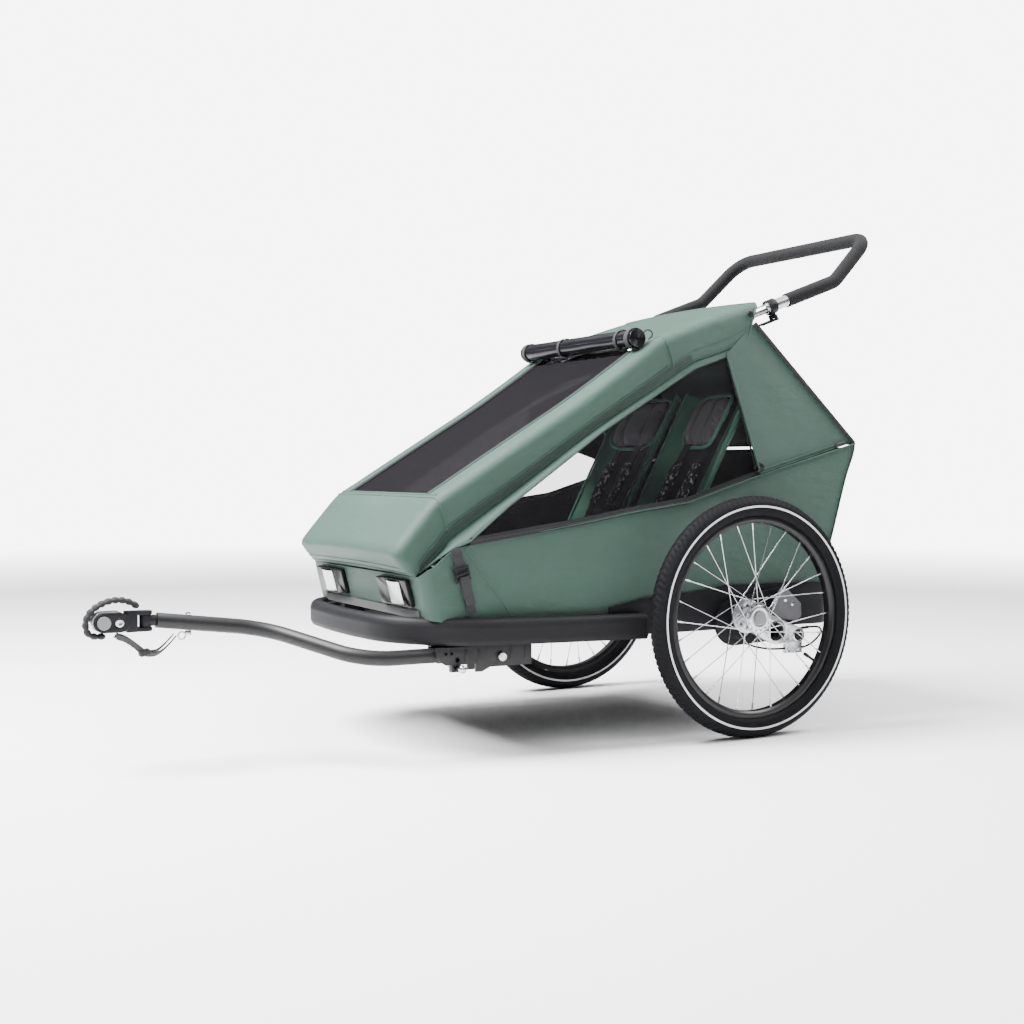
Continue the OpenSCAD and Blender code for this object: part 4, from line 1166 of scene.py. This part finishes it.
        kept(joined("cover_roll_bands", bands), "roof", FINISHES["strap"])


# --- windows and rear -------------------------------------------------------
def window_y(z):
    return 297 - (z - 440) * 0.076


class TRAILER_OT_windows(Operator):
    """Side windows with their zip bands, binding and corner hooks, and a dark sheet of painted shade behind the
    right window
    """
    bl_idname = "trailer.windows"
    bl_label = "Windows"

    def execute(self, context):
        low = spaced([(612, 415), (362, 449), (244, 469), (102, 488), (-81, 544)], 80)
        high = spaced([(612, 417), (529, 480), (302, 632), (172, 707), (75, 764), (-12, 794)], 80)
        binds, zips = [], []
        for side, s in SIDES:
            def place(u, w):
                x, z = mixed(along(low, u), along(high, u), w)
                sag = 2.2 * math.sin(math.pi * w) * math.sin(math.pi * u)
                return at(x, s * (window_y(z) + sag - 0.4), z)
            film = surface(f"window_{side}", 60, 24, place)
            if film.data.polygons[0].normal.y * s < 0:
                edit(film, (bpy.ops.mesh.flip_normals, {}))
            kept(thicken(film, 0.8, -1), "chassis", FINISHES["film"], ["windows"], 60,
                 folds=True)
            edge = rounded([*low[::8], *reversed(high[::8])], 6, 3)
            border = spaced([*edge, edge[0]], 200)
            binds.append(line_of("window_binding", [(x, s * (window_y(z) + 0.4), z) for x, z in border],
                                 2.2, 2))
            band_low = [(x, z - 6) for x, z in low]
            band = surface("window_zip_band", 80, 4, lambda u, w: at(
                along(band_low, u)[0],
                s * (window_y(along(band_low, u)[1]) + 0.8 + 1.4 * math.sin(math.pi * w)),
                along(band_low, u)[1] + 15 * w))
            thicken(band, 1.0, 0)
            binds.append(outward(band))
            zips.append(line_of("window_zip", [(x, s * (window_y(z) + 3.0), z + 1) for x, z in low], 1.2,
                                1))
            hook = smooth([(-70, s * 291, 556), (-78, s * 296, 566), (-88, s * 300, 562),
                           (-84, s * 302, 552),
                           (-72, s * 300, 548)], 20)
            binds.append(line_of("corner_hook", hook, 2.4, 3))
            # painted shade: a dark sheet inside the rear of the right window, standing for the shade in the cabin
            # behind it, on the right side only
            def shaded(u, w):
                x, z = mixed(mixed((168, 640), (-60, 566), u), mixed((168, 700), (-16, 784), u), w)
                return at(x, s * (window_y(z) - 5), z)
            if s < 0:
                shade = surface("painted_shade_sheet", 24, 16, shaded)
                thicken(shade, 0.8, 0)
                binds.append(outward(shade))
        # bindings, zip bands, corner hooks and the painted shade sheet, joined into one piece
        kept(joined("window_bindings_and_painted_shade", binds), "chassis", FINISHES["lining"], folds=True)
        kept(joined("window_zips", zips), "chassis", FINISHES["strap"], folds=True)
        return {"FINISHED"}


class TRAILER_OT_rear(Operator):
    """Rear side pillars, back panel, luggage wall and their bindings"""
    bl_idname = "trailer.rear"
    bl_label = "Rear"

    def execute(self, context):
        front = spaced([(-81, 545), (-45, 672), (-9, 799)], 30)
        back = spaced([(-322, 608), (-345, 613), (-216, 741), (-88, 868)], 30)
        binds, seams = [], []
        for side, s in SIDES:

            def place(u, w):
                x, z = mixed(along(front, w), along(back, w), u)
                y = 298 - (z - 560) * 0.095
                puff = 3.0 * math.sin(math.pi * u) * math.sin(math.pi * w)
                crease = 0.9 * math.sin(u * 9 + w * 4) * math.sin(math.pi * u) * (1 - w) * w * 4
                return at(x, s * (y + puff + crease - 1.2), z)
            pillar = surface(f"pillar_{side}", 48, 48, place)
            if pillar.data.polygons[0].normal.y * s < 0:
                edit(pillar, (bpy.ops.mesh.flip_normals, {}))
            kept(lined(pillar), "chassis", [FINISHES["green"], FINISHES["lining"]],
                 ["rear_cover"] if s > 0 else (), 60, folds=True)
            rim = [(x, s * (298.6 - (z - 560) * 0.095), z) for x,
                   z in spaced([(-345, 613), (-88, 868)], 60)]
            binds.append(line_of("pillar_binding", rim, 4.2, 3))
            seams.append(line_of("pillar_front",
                                 [(x, s * (299.4 - (z - 560) * 0.095), z) for x, z in front], 2.0, 2))
            for lift in (2, 9):
                seams.append(line_of("pillar_foot",
                                     [(x, s * (299.6 - (z - 560) * 0.095), z + lift) for x, z in
                                                     spaced([(-84, 545), (-318, 607)], 50)], 1.1, 2))
            toggle = turned("pillar_toggle", [(0.01, 4), (3.4, 3.6), (4.4, 2.4), (4.4, -1), (0.01, -1)],
                            (-292, s * 297, 606), s, 20)
            binds.append(toggle)
        crown = spaced([(-110, 846), (-240, 717), (-343, 614)], 30)

        def panel(u, w):
            x, z = along(crown, w)
            y = (297.4 - (z - 560) * 0.095) * (1 - 2 * u)
            bow = 4 * (1 - (y / 290) ** 2) * math.sin(math.pi * w)
            return at(x - bow * 0.7, y, z + bow * 0.7)
        cover = surface("rear_panel", 60, 30, panel)
        outward(thicken(cover, 2.2, 0))
        kept(cover, "chassis", FINISHES["green"], (), 60, folds=True)
        wall = smooth([(x, z) for x, z in REAR_EDGE if z < 605] + [(-343, 603)], 40)

        def back_wall(u, w):
            x, z = along(wall, w)
            y = 293 * (1 - 2 * u)
            bow = 5 * (1 - (y / 293) ** 2) * math.sin(math.pi * w)
            return at(x - bow, y, z)
        bag = surface("luggage_wall", 60, 40, back_wall)
        outward(thicken(bag, 2.4, 0))
        kept(bag, "chassis", FINISHES["green"], ["rear_bag"], 60, folds=True)
        binds.append(line_of("rear_zip", [(-344.5, -291 + 582 * i / 40, 612) for i in range(41)], 3.0, 2))
        flap = rounded([(-200, 470), (200, 470), (200, 330), (-200, 330)], 26, 6)
        def x_at(z):
            return along(wall, min(1, max(0, (z - 262) / 341)))[0] - 6.2
        seams.append(line_of("pocket_seam", [(x_at(z) - 3.5 * (1 - (y / 293) ** 2), y, z) for y, z in
                                             spaced([*flap, flap[0]], 120)], 1.4, 2))
        kept(joined("rear_bindings", binds), "chassis", FINISHES["strap"], folds=True)
        kept(joined("rear_seams", seams), "chassis", FINISHES["piping"], folds=True)
        return {"FINISHED"}


# --- cabin ------------------------------------------------------------------
def block(name, low, high, ease, turn=0.0):
    """Bar between two corners with eased edges, turned about its middle in the side view."""
    low, high = Vector(low), Vector(high)
    obj = start(bpy.ops.mesh.primitive_cube_add, name, size=1, location=at(*((low + high) / 2)),
                rotation=(0, math.radians(turn), 0), scale=(high - low) * MM)
    pick(obj)
    bpy.ops.object.transform_apply(location=True, rotation=True, scale=True)
    return bevelled(obj, ease, 3)


def pillow(name, middle, across, up, half, depth, power=4.0, lean=None, steps=56):
    """Closed crowned pad; across and up are unit directions, half its half sizes along them."""
    middle, across, up = Vector(middle), Vector(across).normalized(), Vector(up).normalized()
    front = across.cross(up).normalized()

    def place(u, w):
        a = 2 * math.pi * u
        share = 1 - abs(2 * w - 1)
        c, d = math.cos(a), math.sin(a)
        px = math.copysign(abs(c) ** (2 / power), c) * share * half[0]
        pz = math.copysign(abs(d) ** (2 / power), d) * share * half[1]
        thick = depth * (1 - share ** 5) ** 0.5 * (1 if w < 0.5 else -0.55)
        extra = lean(px, pz) if lean else 0
        return at(*(middle + across * px + up * pz + front * (thick + extra)))
    return surface(name, steps, 28, place, wrap=True)


def filled(obj, voxel=5, cap=8):
    """Remeshes a pad and swells it as cloth under air pressure."""
    modify(obj, "REMESH", mode="VOXEL", voxel_size=voxel * MM, use_smooth_shade=True)
    scene = bpy.context.scene
    rest = [v.co.copy() for v in obj.data.vertices]
    cloth = obj.modifiers.new("Fill", "CLOTH")
    cloth.settings.use_pressure = True
    cloth.settings.uniform_pressure_force = 4
    cloth.settings.effector_weights.gravity = 0
    cloth.point_cache.frame_start, cloth.point_cache.frame_end = 1, 20
    for step in range(1, 21):
        scene.frame_set(step)
    pick(obj)
    bpy.ops.object.modifier_apply(modifier=cloth.name)
    for vertex, place in zip(obj.data.vertices, rest):
        move = vertex.co - place
        if move.length > cap * MM:
            vertex.co = place + move.normalized() * cap * MM
    scene.frame_set(1)
    return subdivided(obj)


def sewn(obj, lines, front, depth=5.0, width=5.0):
    """Presses sewn channels into the front of a pad along lines of points."""
    front = Vector(front).normalized()
    routes = [[at(*p) for p in line] for line in lines]
    for vertex in obj.data.vertices:
        if vertex.normal.dot(front) < 0.1:
            continue
        near = min((vertex.co - p - front * (vertex.co - p).dot(front)).length for route in routes for p in route)
        vertex.co -= front * depth * MM * math.exp(-(near / (width * MM)) ** 2)
    return obj


BACK_LINE = [(-112, 716), (-46, 603), (40, 455), (92, 366), (112, 345), (150, 340), (270, 346), (388, 352)]


class TRAILER_OT_seats(Operator):
    """Two seats with mesh backs, padded headrests and harnesses"""
    bl_idname = "trailer.seats"
    bl_label = "Seats"

    def execute(self, context):
        line = smooth(BACK_LINE, 90)
        for side, s in SIDES:
            def place(u, w):
                x, z = along(line, u)
                y = 20 + 230 * w
                wing = max(0, abs(2 * w - 1) - 0.55) / 0.45
                back = max(0, 1 - u * 1.7) ** 0.6
                hollow = 5 * math.sin(math.pi * u) * math.sin(math.pi * w)
                lift = wing ** 2 * (24 * back + 5)
                return at(x + lift * 0.8 - hollow * 0.5, s * y, z + lift * 0.35 - hollow)
            seat = surface(f"seat_cloth_{side}", 90, 44, place)
            thicken(seat, 7, -1 if s > 0 else 1)
            bevelled(outward(seat), 2.2, 3)
            for each in ("seat", "seat_mesh"):
                seat.data.materials.append(FINISHES[each])
            for face in seat.data.polygons:
                w = (abs(face.center.y) / MM - 20) / 230
                face.material_index = 0 if abs(2 * w - 1) > 0.56 else 1
            kept(seat, "chassis", [FINISHES["seat"], FINISHES["seat_mesh"]],
                 ["seats"] if s > 0 else (), 60, folds=True)
            trims, threads = [], []
            for w in (0.0, 0.22, 0.78, 1.0):
                edge = [place(i / 90, w) for i in range(91)]
                route = [((p.x - AXLE_X) / MM + 1.5, p.y / MM, p.z / MM + 1.6) for p in edge]
                (trims if w in (0.0, 1.0) else threads).append(line_of("seat_edge", route,
                                                                       2.6 if w in (0.0, 1.0) else 1.3, 2))
                if w in (0.22, 0.78):
                    threads.append(stitches("seat_thread",
                                            [(x, y + (3 if w < 0.5 else -3) * s, z) for x, y, z in route]))
            kept(joined(f"seat_piping_{side}", trims + threads), "chassis",
                 FINISHES["seat_piping"],
                 folds=True)
            self.headrest(side, s)
            self.harness(side, s)
        return {"FINISHED"}

    def headrest(self, side, s):
        up = Vector((-66, 0, 115)).normalized()
        across = Vector((28, s * 160, 0)).normalized() * s
        middle = Vector((-66, s * 135, 660))
        front = across.cross(up).normalized()
        if front.x < 0:
            across, front = -across, -front
        pad = pillow(f"headrest_{side}", middle, across, up, (78, 65), 13, 4.2, lambda x,
                     z: (abs(x) / 78) ** 3 * 7)
        filled(pad, 5, 6)
        channels = [[middle + across * (k * (25 + 8 * math.cos(t * 1.6))) + up * (t * 60) for t in
                     [i / 24 * 2 - 1 for i in range(25)]] for k in (-1, 1)]
        sewn(pad, channels, front, 6, 5)
        kept(pad, "chassis", FINISHES["pad"], ["headrests"] if s > 0 else (), 80,
             folds=True)
        rim = []
        for i in range(97):
            a = 2 * math.pi * i / 96
            c, d = math.cos(a), math.sin(a)
            px, pz = (math.copysign(abs(v) ** (2 / 4.2), v) * h for v, h in ((c, 80), (d, 67)))
            rim.append(middle + across * px + up * pz + front * ((abs(px) / 78) ** 3 * 7))
        kept(line_of(f"headrest_piping_{side}", rim, 4.0, 3), "chassis",
             FINISHES["seat_piping"],
             folds=True)

    def harness(self, side, s):
        line = smooth([(x + 12, z + 7) for x, z in BACK_LINE[1:5]] + [(150, 358)], 50)
        webs = []
        for y in (100, 176):
            goal = 138 + (8 if y > 138 else -8)
            route = [(x, s * (y + (goal - y) * max(0, (i / 50 - 0.55) / 0.45)), z) for i,
                     (x, z) in enumerate(line)]
            webs.append(ribbon("harness_strap", route, (0, 1, 0), 24, 1.8))
            lap = smooth([(96, s * (32 if y < 138 else 244), 352), (120, s * (60 if y < 138 else 216), 360),
                          (148, s * goal, 362)], 20)
            webs.append(ribbon("lap_strap", lap, (0.35, 0, 1), 22, 1.8))
            a, b = route[8], route[24]
            middle = (Vector(a) + Vector(b)) / 2
            up = (Vector(a) - Vector(b)).normalized()
            across = Vector((0, 1, 0))
            front = across.cross(up)
            if front.x < 0:
                across = -across
                front = -front
            pad = pillow(f"harness_pad_{side}_{y}", middle + front * 2, across, up, (18, 62), 6.5, 5)
            filled(pad, 4, 5)
            kept(pad, "chassis", FINISHES["fleck"],
                 ["harnesses"] if s > 0 and y == 100 else (), 80,
                 folds=True)
        crotch = smooth([(206, s * 138, 348), (184, s * 138, 356), (160, s * 138, 362)], 12)
        webs.append(ribbon("crotch_strap", crotch, (0, 1, 0), 24, 1.8))
        kept(joined(f"harness_straps_{side}", webs), "chassis", FINISHES["strap"],
             folds=True)
        y = s * 138
        buckle = [block("buckle", (134, y - 21, 358), (170, y + 21, 371), 4, 8),
                  block("buckle_key", (145, y - 8, 369),
                                                                                       (160, y + 8, 374.5),
                                                                                       2.4, 8)]
        kept(joined(f"harness_buckle_{side}", buckle), "chassis", FINISHES["black"],
             folds=True)


# --- straps, hitch and handle -----------------------------------------------
class TRAILER_OT_straps(Operator):
    """Side tension straps with their ladder locks"""
    bl_idname = "trailer.straps"
    bl_label = "Side straps"

    def execute(self, context):
        webs, locks = [], []
        for s in (1, -1):
            route = spaced([(641, s * 299.8, 398), (637, s * 300.4, 383), (618, s * 300.4, 316),
                            (608, s * 299.6, 277)], 40)
            webs.append(ribbon("tension_strap", route, (1, 0, -0.27), 20, 1.6))
            tail = smooth([(626, s * 304, 350), (623, s * 306, 332), (617, s * 304, 312),
                           (612, s * 306, 296)], 24)
            webs.append(ribbon("strap_tail", tail, (1, 0, -0.27), 20, 1.4))
            webs.append(block("strap_box", (631, min(s * 299.4, s * 301.8), 388),
                              (653, max(s * 299.4, s * 301.8), 404), 0.8, 15))
            for dz, dy in ((0, 3.4), (-11, 4.6), (-22, 3.4)):
                x, z = 634 + dz * 0.27, 366 + dz
                y0, y1 = sorted((s * 300.8, s * (301.6 + dy)))
                locks.append(block("lock_bar", (x - 14, y0, z - 2.6), (x + 14, y1, z + 2.6), 1.3, 15))
            for dx in (-14, 14):
                x, z = 631 + dx, 355 - dx * 0.27
                y0, y1 = sorted((s * 300.6, s * 304.6))
                locks.append(block("lock_side", (x - 2.4, y0, z - 15), (x + 2.4, y1, z + 15), 1.2, 15))
        kept(joined("tension_straps", webs), "chassis", FINISHES["strap"],
             ["side_straps"])
        kept(joined("strap_locks", locks), "chassis", FINISHES["black"])
        return {"FINISHED"}


class TRAILER_OT_hitch(Operator):
    """Drawbar, lock pin, hitch head with its ribbed strap, and safety strap"""
    bl_idname = "trailer.hitch"
    bl_label = "Drawbar and hitch"

    def execute(self, context):
        refined("drawbar", FINISHES["paint"], 1.0)
        refined("drawbar_eye", FINISHES["black"], 1.0)
        refined("strap_clamp", FINISHES["steel"], 0.8)
        refined("lock_pin", FINISHES["steel"], 0.6)
        refined("hitch_head", FINISHES["black"], 1.8, 3)
        refined("hitch_shell", FINISHES["cast"], 1.4, 3)
        refined("hitch_button", FINISHES["button"], 1.2, 3)
        refined("hitch_key", FINISHES["steel"], 0.5)
        spine = smooth([(1254, 80, 250), (1272, 80, 250.5), (1282, 80, 256), (1285.5, 80, 272),
                        (1279, 80, 289),
                        (1264, 80, 302), (1244, 80, 310), (1224, 80, 311), (1206, 80, 306),
                        (1194, 80, 298)], 120)
        turn = [(math.cos(2 * math.pi * k / 14), math.sin(2 * math.pi * k / 14)) for k in range(15)]

        def place(u, w):
            i = min(int(u * 120 + 0.5), 120)
            p = Vector(spine[i])
            t = (Vector(spine[min(i + 1, 120)]) - Vector(spine[max(i - 1, 0)])).normalized()
            out = t.cross(Vector((0, 1, 0))).normalized()
            c, d = along(turn, w)
            rib = 0.62 + 0.38 * abs(math.sin(u * math.pi * 13))
            return at(*(p + out * (c * 6.4 * rib - 2.2) + Vector((0, 1, 0)) * d * 11))
        strap = surface("ribbed_strap", 120, 14, place)
        weld(strap)
        edit(strap, (bpy.ops.mesh.select_all, {"action": "DESELECT"}),
             (bpy.ops.mesh.select_non_manifold, {}),
             (bpy.ops.mesh.edge_face_add, {}))
        kept(outward(strap), "hitch", FINISHES["rubber"], ["hitch_strap"], 50)
        route = smooth([(1232, 80, 247), (1215, 80, 240), (1196, 80, 226), (1180, 80, 213), (1160, 80, 212),
                        (1144, 80, 222), (1126, 80, 240)], 70)
        strands = [ribbon("safety_strand", [(x + lift, y + shift, z + lift) for x, y, z in route],
                          (-0.35, 0.6, 0.7), 12, 2.2)
                   for shift, lift in ((-4, 1.5), (4, -1.5))]
        x, y, z = route[34]
        strands.append(block("safety_slider", (x - 10, y - 9, z - 6), (x + 10, y + 9, z + 6), 2.4, 12))
        safety = joined("safety_webbing", strands)
        pick(safety)
        bpy.ops.object.shade_smooth_by_angle(angle=math.radians(40))
        safety.data.materials.clear()
        safety.data.materials.append(FINISHES["strap"])
        at(1140, 80, 224)
        at(1224, 80, 243)
        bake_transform(safety)
        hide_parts("safety_strap")
        return {"FINISHED"}


class TRAILER_OT_handle(Operator):
    """Roof frame, uprights, push handle with its foam grip and clamps"""
    bl_idname = "trailer.handle"
    bl_label = "Frame and handle"

    def execute(self, context):
        refined("roof_frame", FINISHES["tube"], 0.5)
        refined("seat_uprights", FINISHES["paint"], 0.8)
        refined("handle_tube", FINISHES["tube"], 0.5)
        refined("handle_grip", FINISHES["foam"], 1.8, 3)
        refined("clamp_collars", FINISHES["black"], 1.4, 3)
        for side, _ in SIDES:
            refined(f"clamp_lever_{side}", FINISHES["black"], 1.0, 3)
        return {"FINISHED"}


# --- stage ------------------------------------------------------------------
EYE = (1.42375, 2.766, 0.558)
EYE_LENS, EYE_SENSOR, EYE_REACH = 50.75, 36, 200
FLOOR_SIZE = 60
FADE_END, FADE_SLOPE = 7.5, 0.28  # the floor is gone at this distance in metres


class TRAILER_OT_stage(Operator):
    """Pale floor, soft studio lights and the camera"""
    bl_idname = "trailer.stage"
    bl_label = "Stage"

    def execute(self, context):
        look = context.scene.trailer_look
        ground = start(bpy.ops.mesh.primitive_plane_add, "ground", size=FLOOR_SIZE)
        paper = Finish("floor_paper", tuple(look.floor_colour), Roughness=0.9)
        reach = paper.add("VectorMath", {"operation": "LENGTH"}, paper.spot(), out="Value")
        paper.drive(Alpha=paper.add("Math", {"operation": "ADD", "use_clamp": True}, reach * -FADE_SLOPE,
                                     FADE_END * FADE_SLOPE))
        ground.data.materials.append(paper.material)
        azimuth, elevation = math.radians(look.view_azimuth), math.radians(look.view_elevation)
        back = Vector((math.sin(azimuth) * math.cos(elevation), -math.cos(azimuth) * math.cos(elevation),
                       math.sin(elevation)))
        bpy.ops.object.camera_add(location=EYE, rotation=(-back).to_track_quat("-Z", "Y").to_euler())
        camera = context.object
        camera.data.lens, camera.data.sensor_width = EYE_LENS, EYE_SENSOR
        camera.data.clip_end = EYE_REACH
        context.scene.camera = camera
        world = bpy.data.worlds.new("studio")
        world.use_nodes = True
        nodes, links = world.node_tree.nodes, world.node_tree.links
        room = nodes["Background"]
        room.inputs[0].default_value, room.inputs[1].default_value = (1, 1, 1, 1), look.room_light
        seen = nodes.new("ShaderNodeBackground")
        seen.inputs[0].default_value, seen.inputs[1].default_value = (1, 1, 1, 1), look.backdrop
        path, mix = nodes.new("ShaderNodeLightPath"), nodes.new("ShaderNodeMixShader")
        links.new(path.outputs["Is Camera Ray"], mix.inputs[0])
        links.new(room.outputs[0], mix.inputs[1])
        links.new(seen.outputs[0], mix.inputs[2])
        links.new(mix.outputs[0], nodes["World Output"].inputs["Surface"])
        context.scene.world = world
        for name, spot, aim, size, power in (("ceiling", (0, 0, 14), (0, 0, 0), 40, look.ceiling_light),
                                             ("key", (1.7, -0.5, 3.0), (0.1, 0, 0.5), 1.8, look.key_light),
                                             ("fill", (2.6, 3.4, 1.3), (0, 0.2, 0.4), 2.0, look.fill_light),
                                             ("rim", (-2.4, 0.9, 2.9), (0, 0, 0.6), 1.6, look.rim_light)):
            facing = (Vector(aim) - Vector(spot)).to_track_quat("-Z", "Y").to_euler()
            bpy.ops.object.light_add(type="AREA", location=spot, rotation=facing)
            lamp = context.object
            lamp.name = name
            lamp.data.shape, lamp.data.size, lamp.data.energy = "DISK", size, power
        return {"FINISHED"}


# --- add-on -----------------------------------------------------------------
class TrailerLook(PropertyGroup):
    shell_colour: FloatVectorProperty(name="Shell colour", description="Colour of the coated cloth",
                                      subtype="COLOR",
                                      size=3, min=0, max=1, default=(0.026, 0.061, 0.046))
    floor_colour: FloatVectorProperty(name="Floor colour", description="Colour of the studio floor",
                                      subtype="COLOR",
                                      size=3, min=0, max=1, default=(0.92, 0.92, 0.92))
    tread_segments: IntProperty(name="Tread segments", description="Segments round each tyre", default=672,
                                min=112,
                                max=900)
    view_azimuth: FloatProperty(name="Azimuth", description="Heading of the camera in degrees",
                                default=151.773)
    view_elevation: FloatProperty(name="Elevation", description="Height angle of the camera in degrees",
                                  default=1.764)
    room_light: FloatProperty(name="Room light", description="Strength of the even light all round",
                              default=0.14, min=0)
    backdrop: FloatProperty(name="Backdrop", description="Brightness of the wall behind", default=7.0,
                            min=0)
    ceiling_light: FloatProperty(name="Ceiling light", description="Power of the wide light overhead",
                                 default=7600, min=0,
                                 unit="POWER")
    key_light: FloatProperty(name="Key light", description="Power of the main light", default=640, min=0,
                             unit="POWER")
    fill_light: FloatProperty(name="Fill light", description="Power of the light by the camera", default=6,
                              min=0,
                              unit="POWER")
    rim_light: FloatProperty(name="Rim light", description="Power of the light from behind", default=130,
                             min=0,
                             unit="POWER")


class TRAILER_OT_finishes(Operator):
    """Materials of all the parts"""
    bl_idname = "trailer.finishes"
    bl_label = "Finishes"

    def execute(self, context):
        make_finishes(context.scene.trailer_look)
        return {"FINISHED"}


STEPS = (TRAILER_OT_stage, TRAILER_OT_finishes, TRAILER_OT_wheels, TRAILER_OT_suspension, TRAILER_OT_bumper,
         TRAILER_OT_base, TRAILER_OT_tub, TRAILER_OT_roof, TRAILER_OT_windows, TRAILER_OT_rear,
         TRAILER_OT_seats,
         TRAILER_OT_straps, TRAILER_OT_hitch, TRAILER_OT_handle)


class TRAILER_PT_panel(Panel):
    """Sizes, colours and steps of the trailer"""
    bl_label = "Trailer"
    bl_idname = "TRAILER_PT_panel"
    bl_space_type = "VIEW_3D"
    bl_region_type = "UI"
    bl_category = "Trailer"

    def draw(self, context):
        look = context.scene.trailer_look
        for name in TrailerLook.__annotations__:
            self.layout.prop(look, name)
        for step in STEPS:
            self.layout.operator(step.bl_idname)


CLASSES = (TrailerLook, *STEPS, TRAILER_PT_panel)


def register():
    for each in CLASSES:
        bpy.utils.register_class(each)
    bpy.types.Scene.trailer_look = PointerProperty(type=TrailerLook)


def unregister():
    del bpy.types.Scene.trailer_look
    for each in reversed(CLASSES):
        bpy.utils.unregister_class(each)


def main():
    register()
    bpy.ops.trailer.stage()
    bpy.ops.trailer.finishes()
    bpy.ops.trailer.wheels()
    bpy.ops.trailer.suspension()
    bpy.ops.trailer.bumper()
    bpy.ops.trailer.base()
    bpy.ops.trailer.tub()
    bpy.ops.trailer.roof()
    bpy.ops.trailer.windows()
    bpy.ops.trailer.rear()
    bpy.ops.trailer.seats()
    bpy.ops.trailer.straps()
    bpy.ops.trailer.hitch()
    bpy.ops.trailer.handle()


if __name__ == "__main__":
    main()
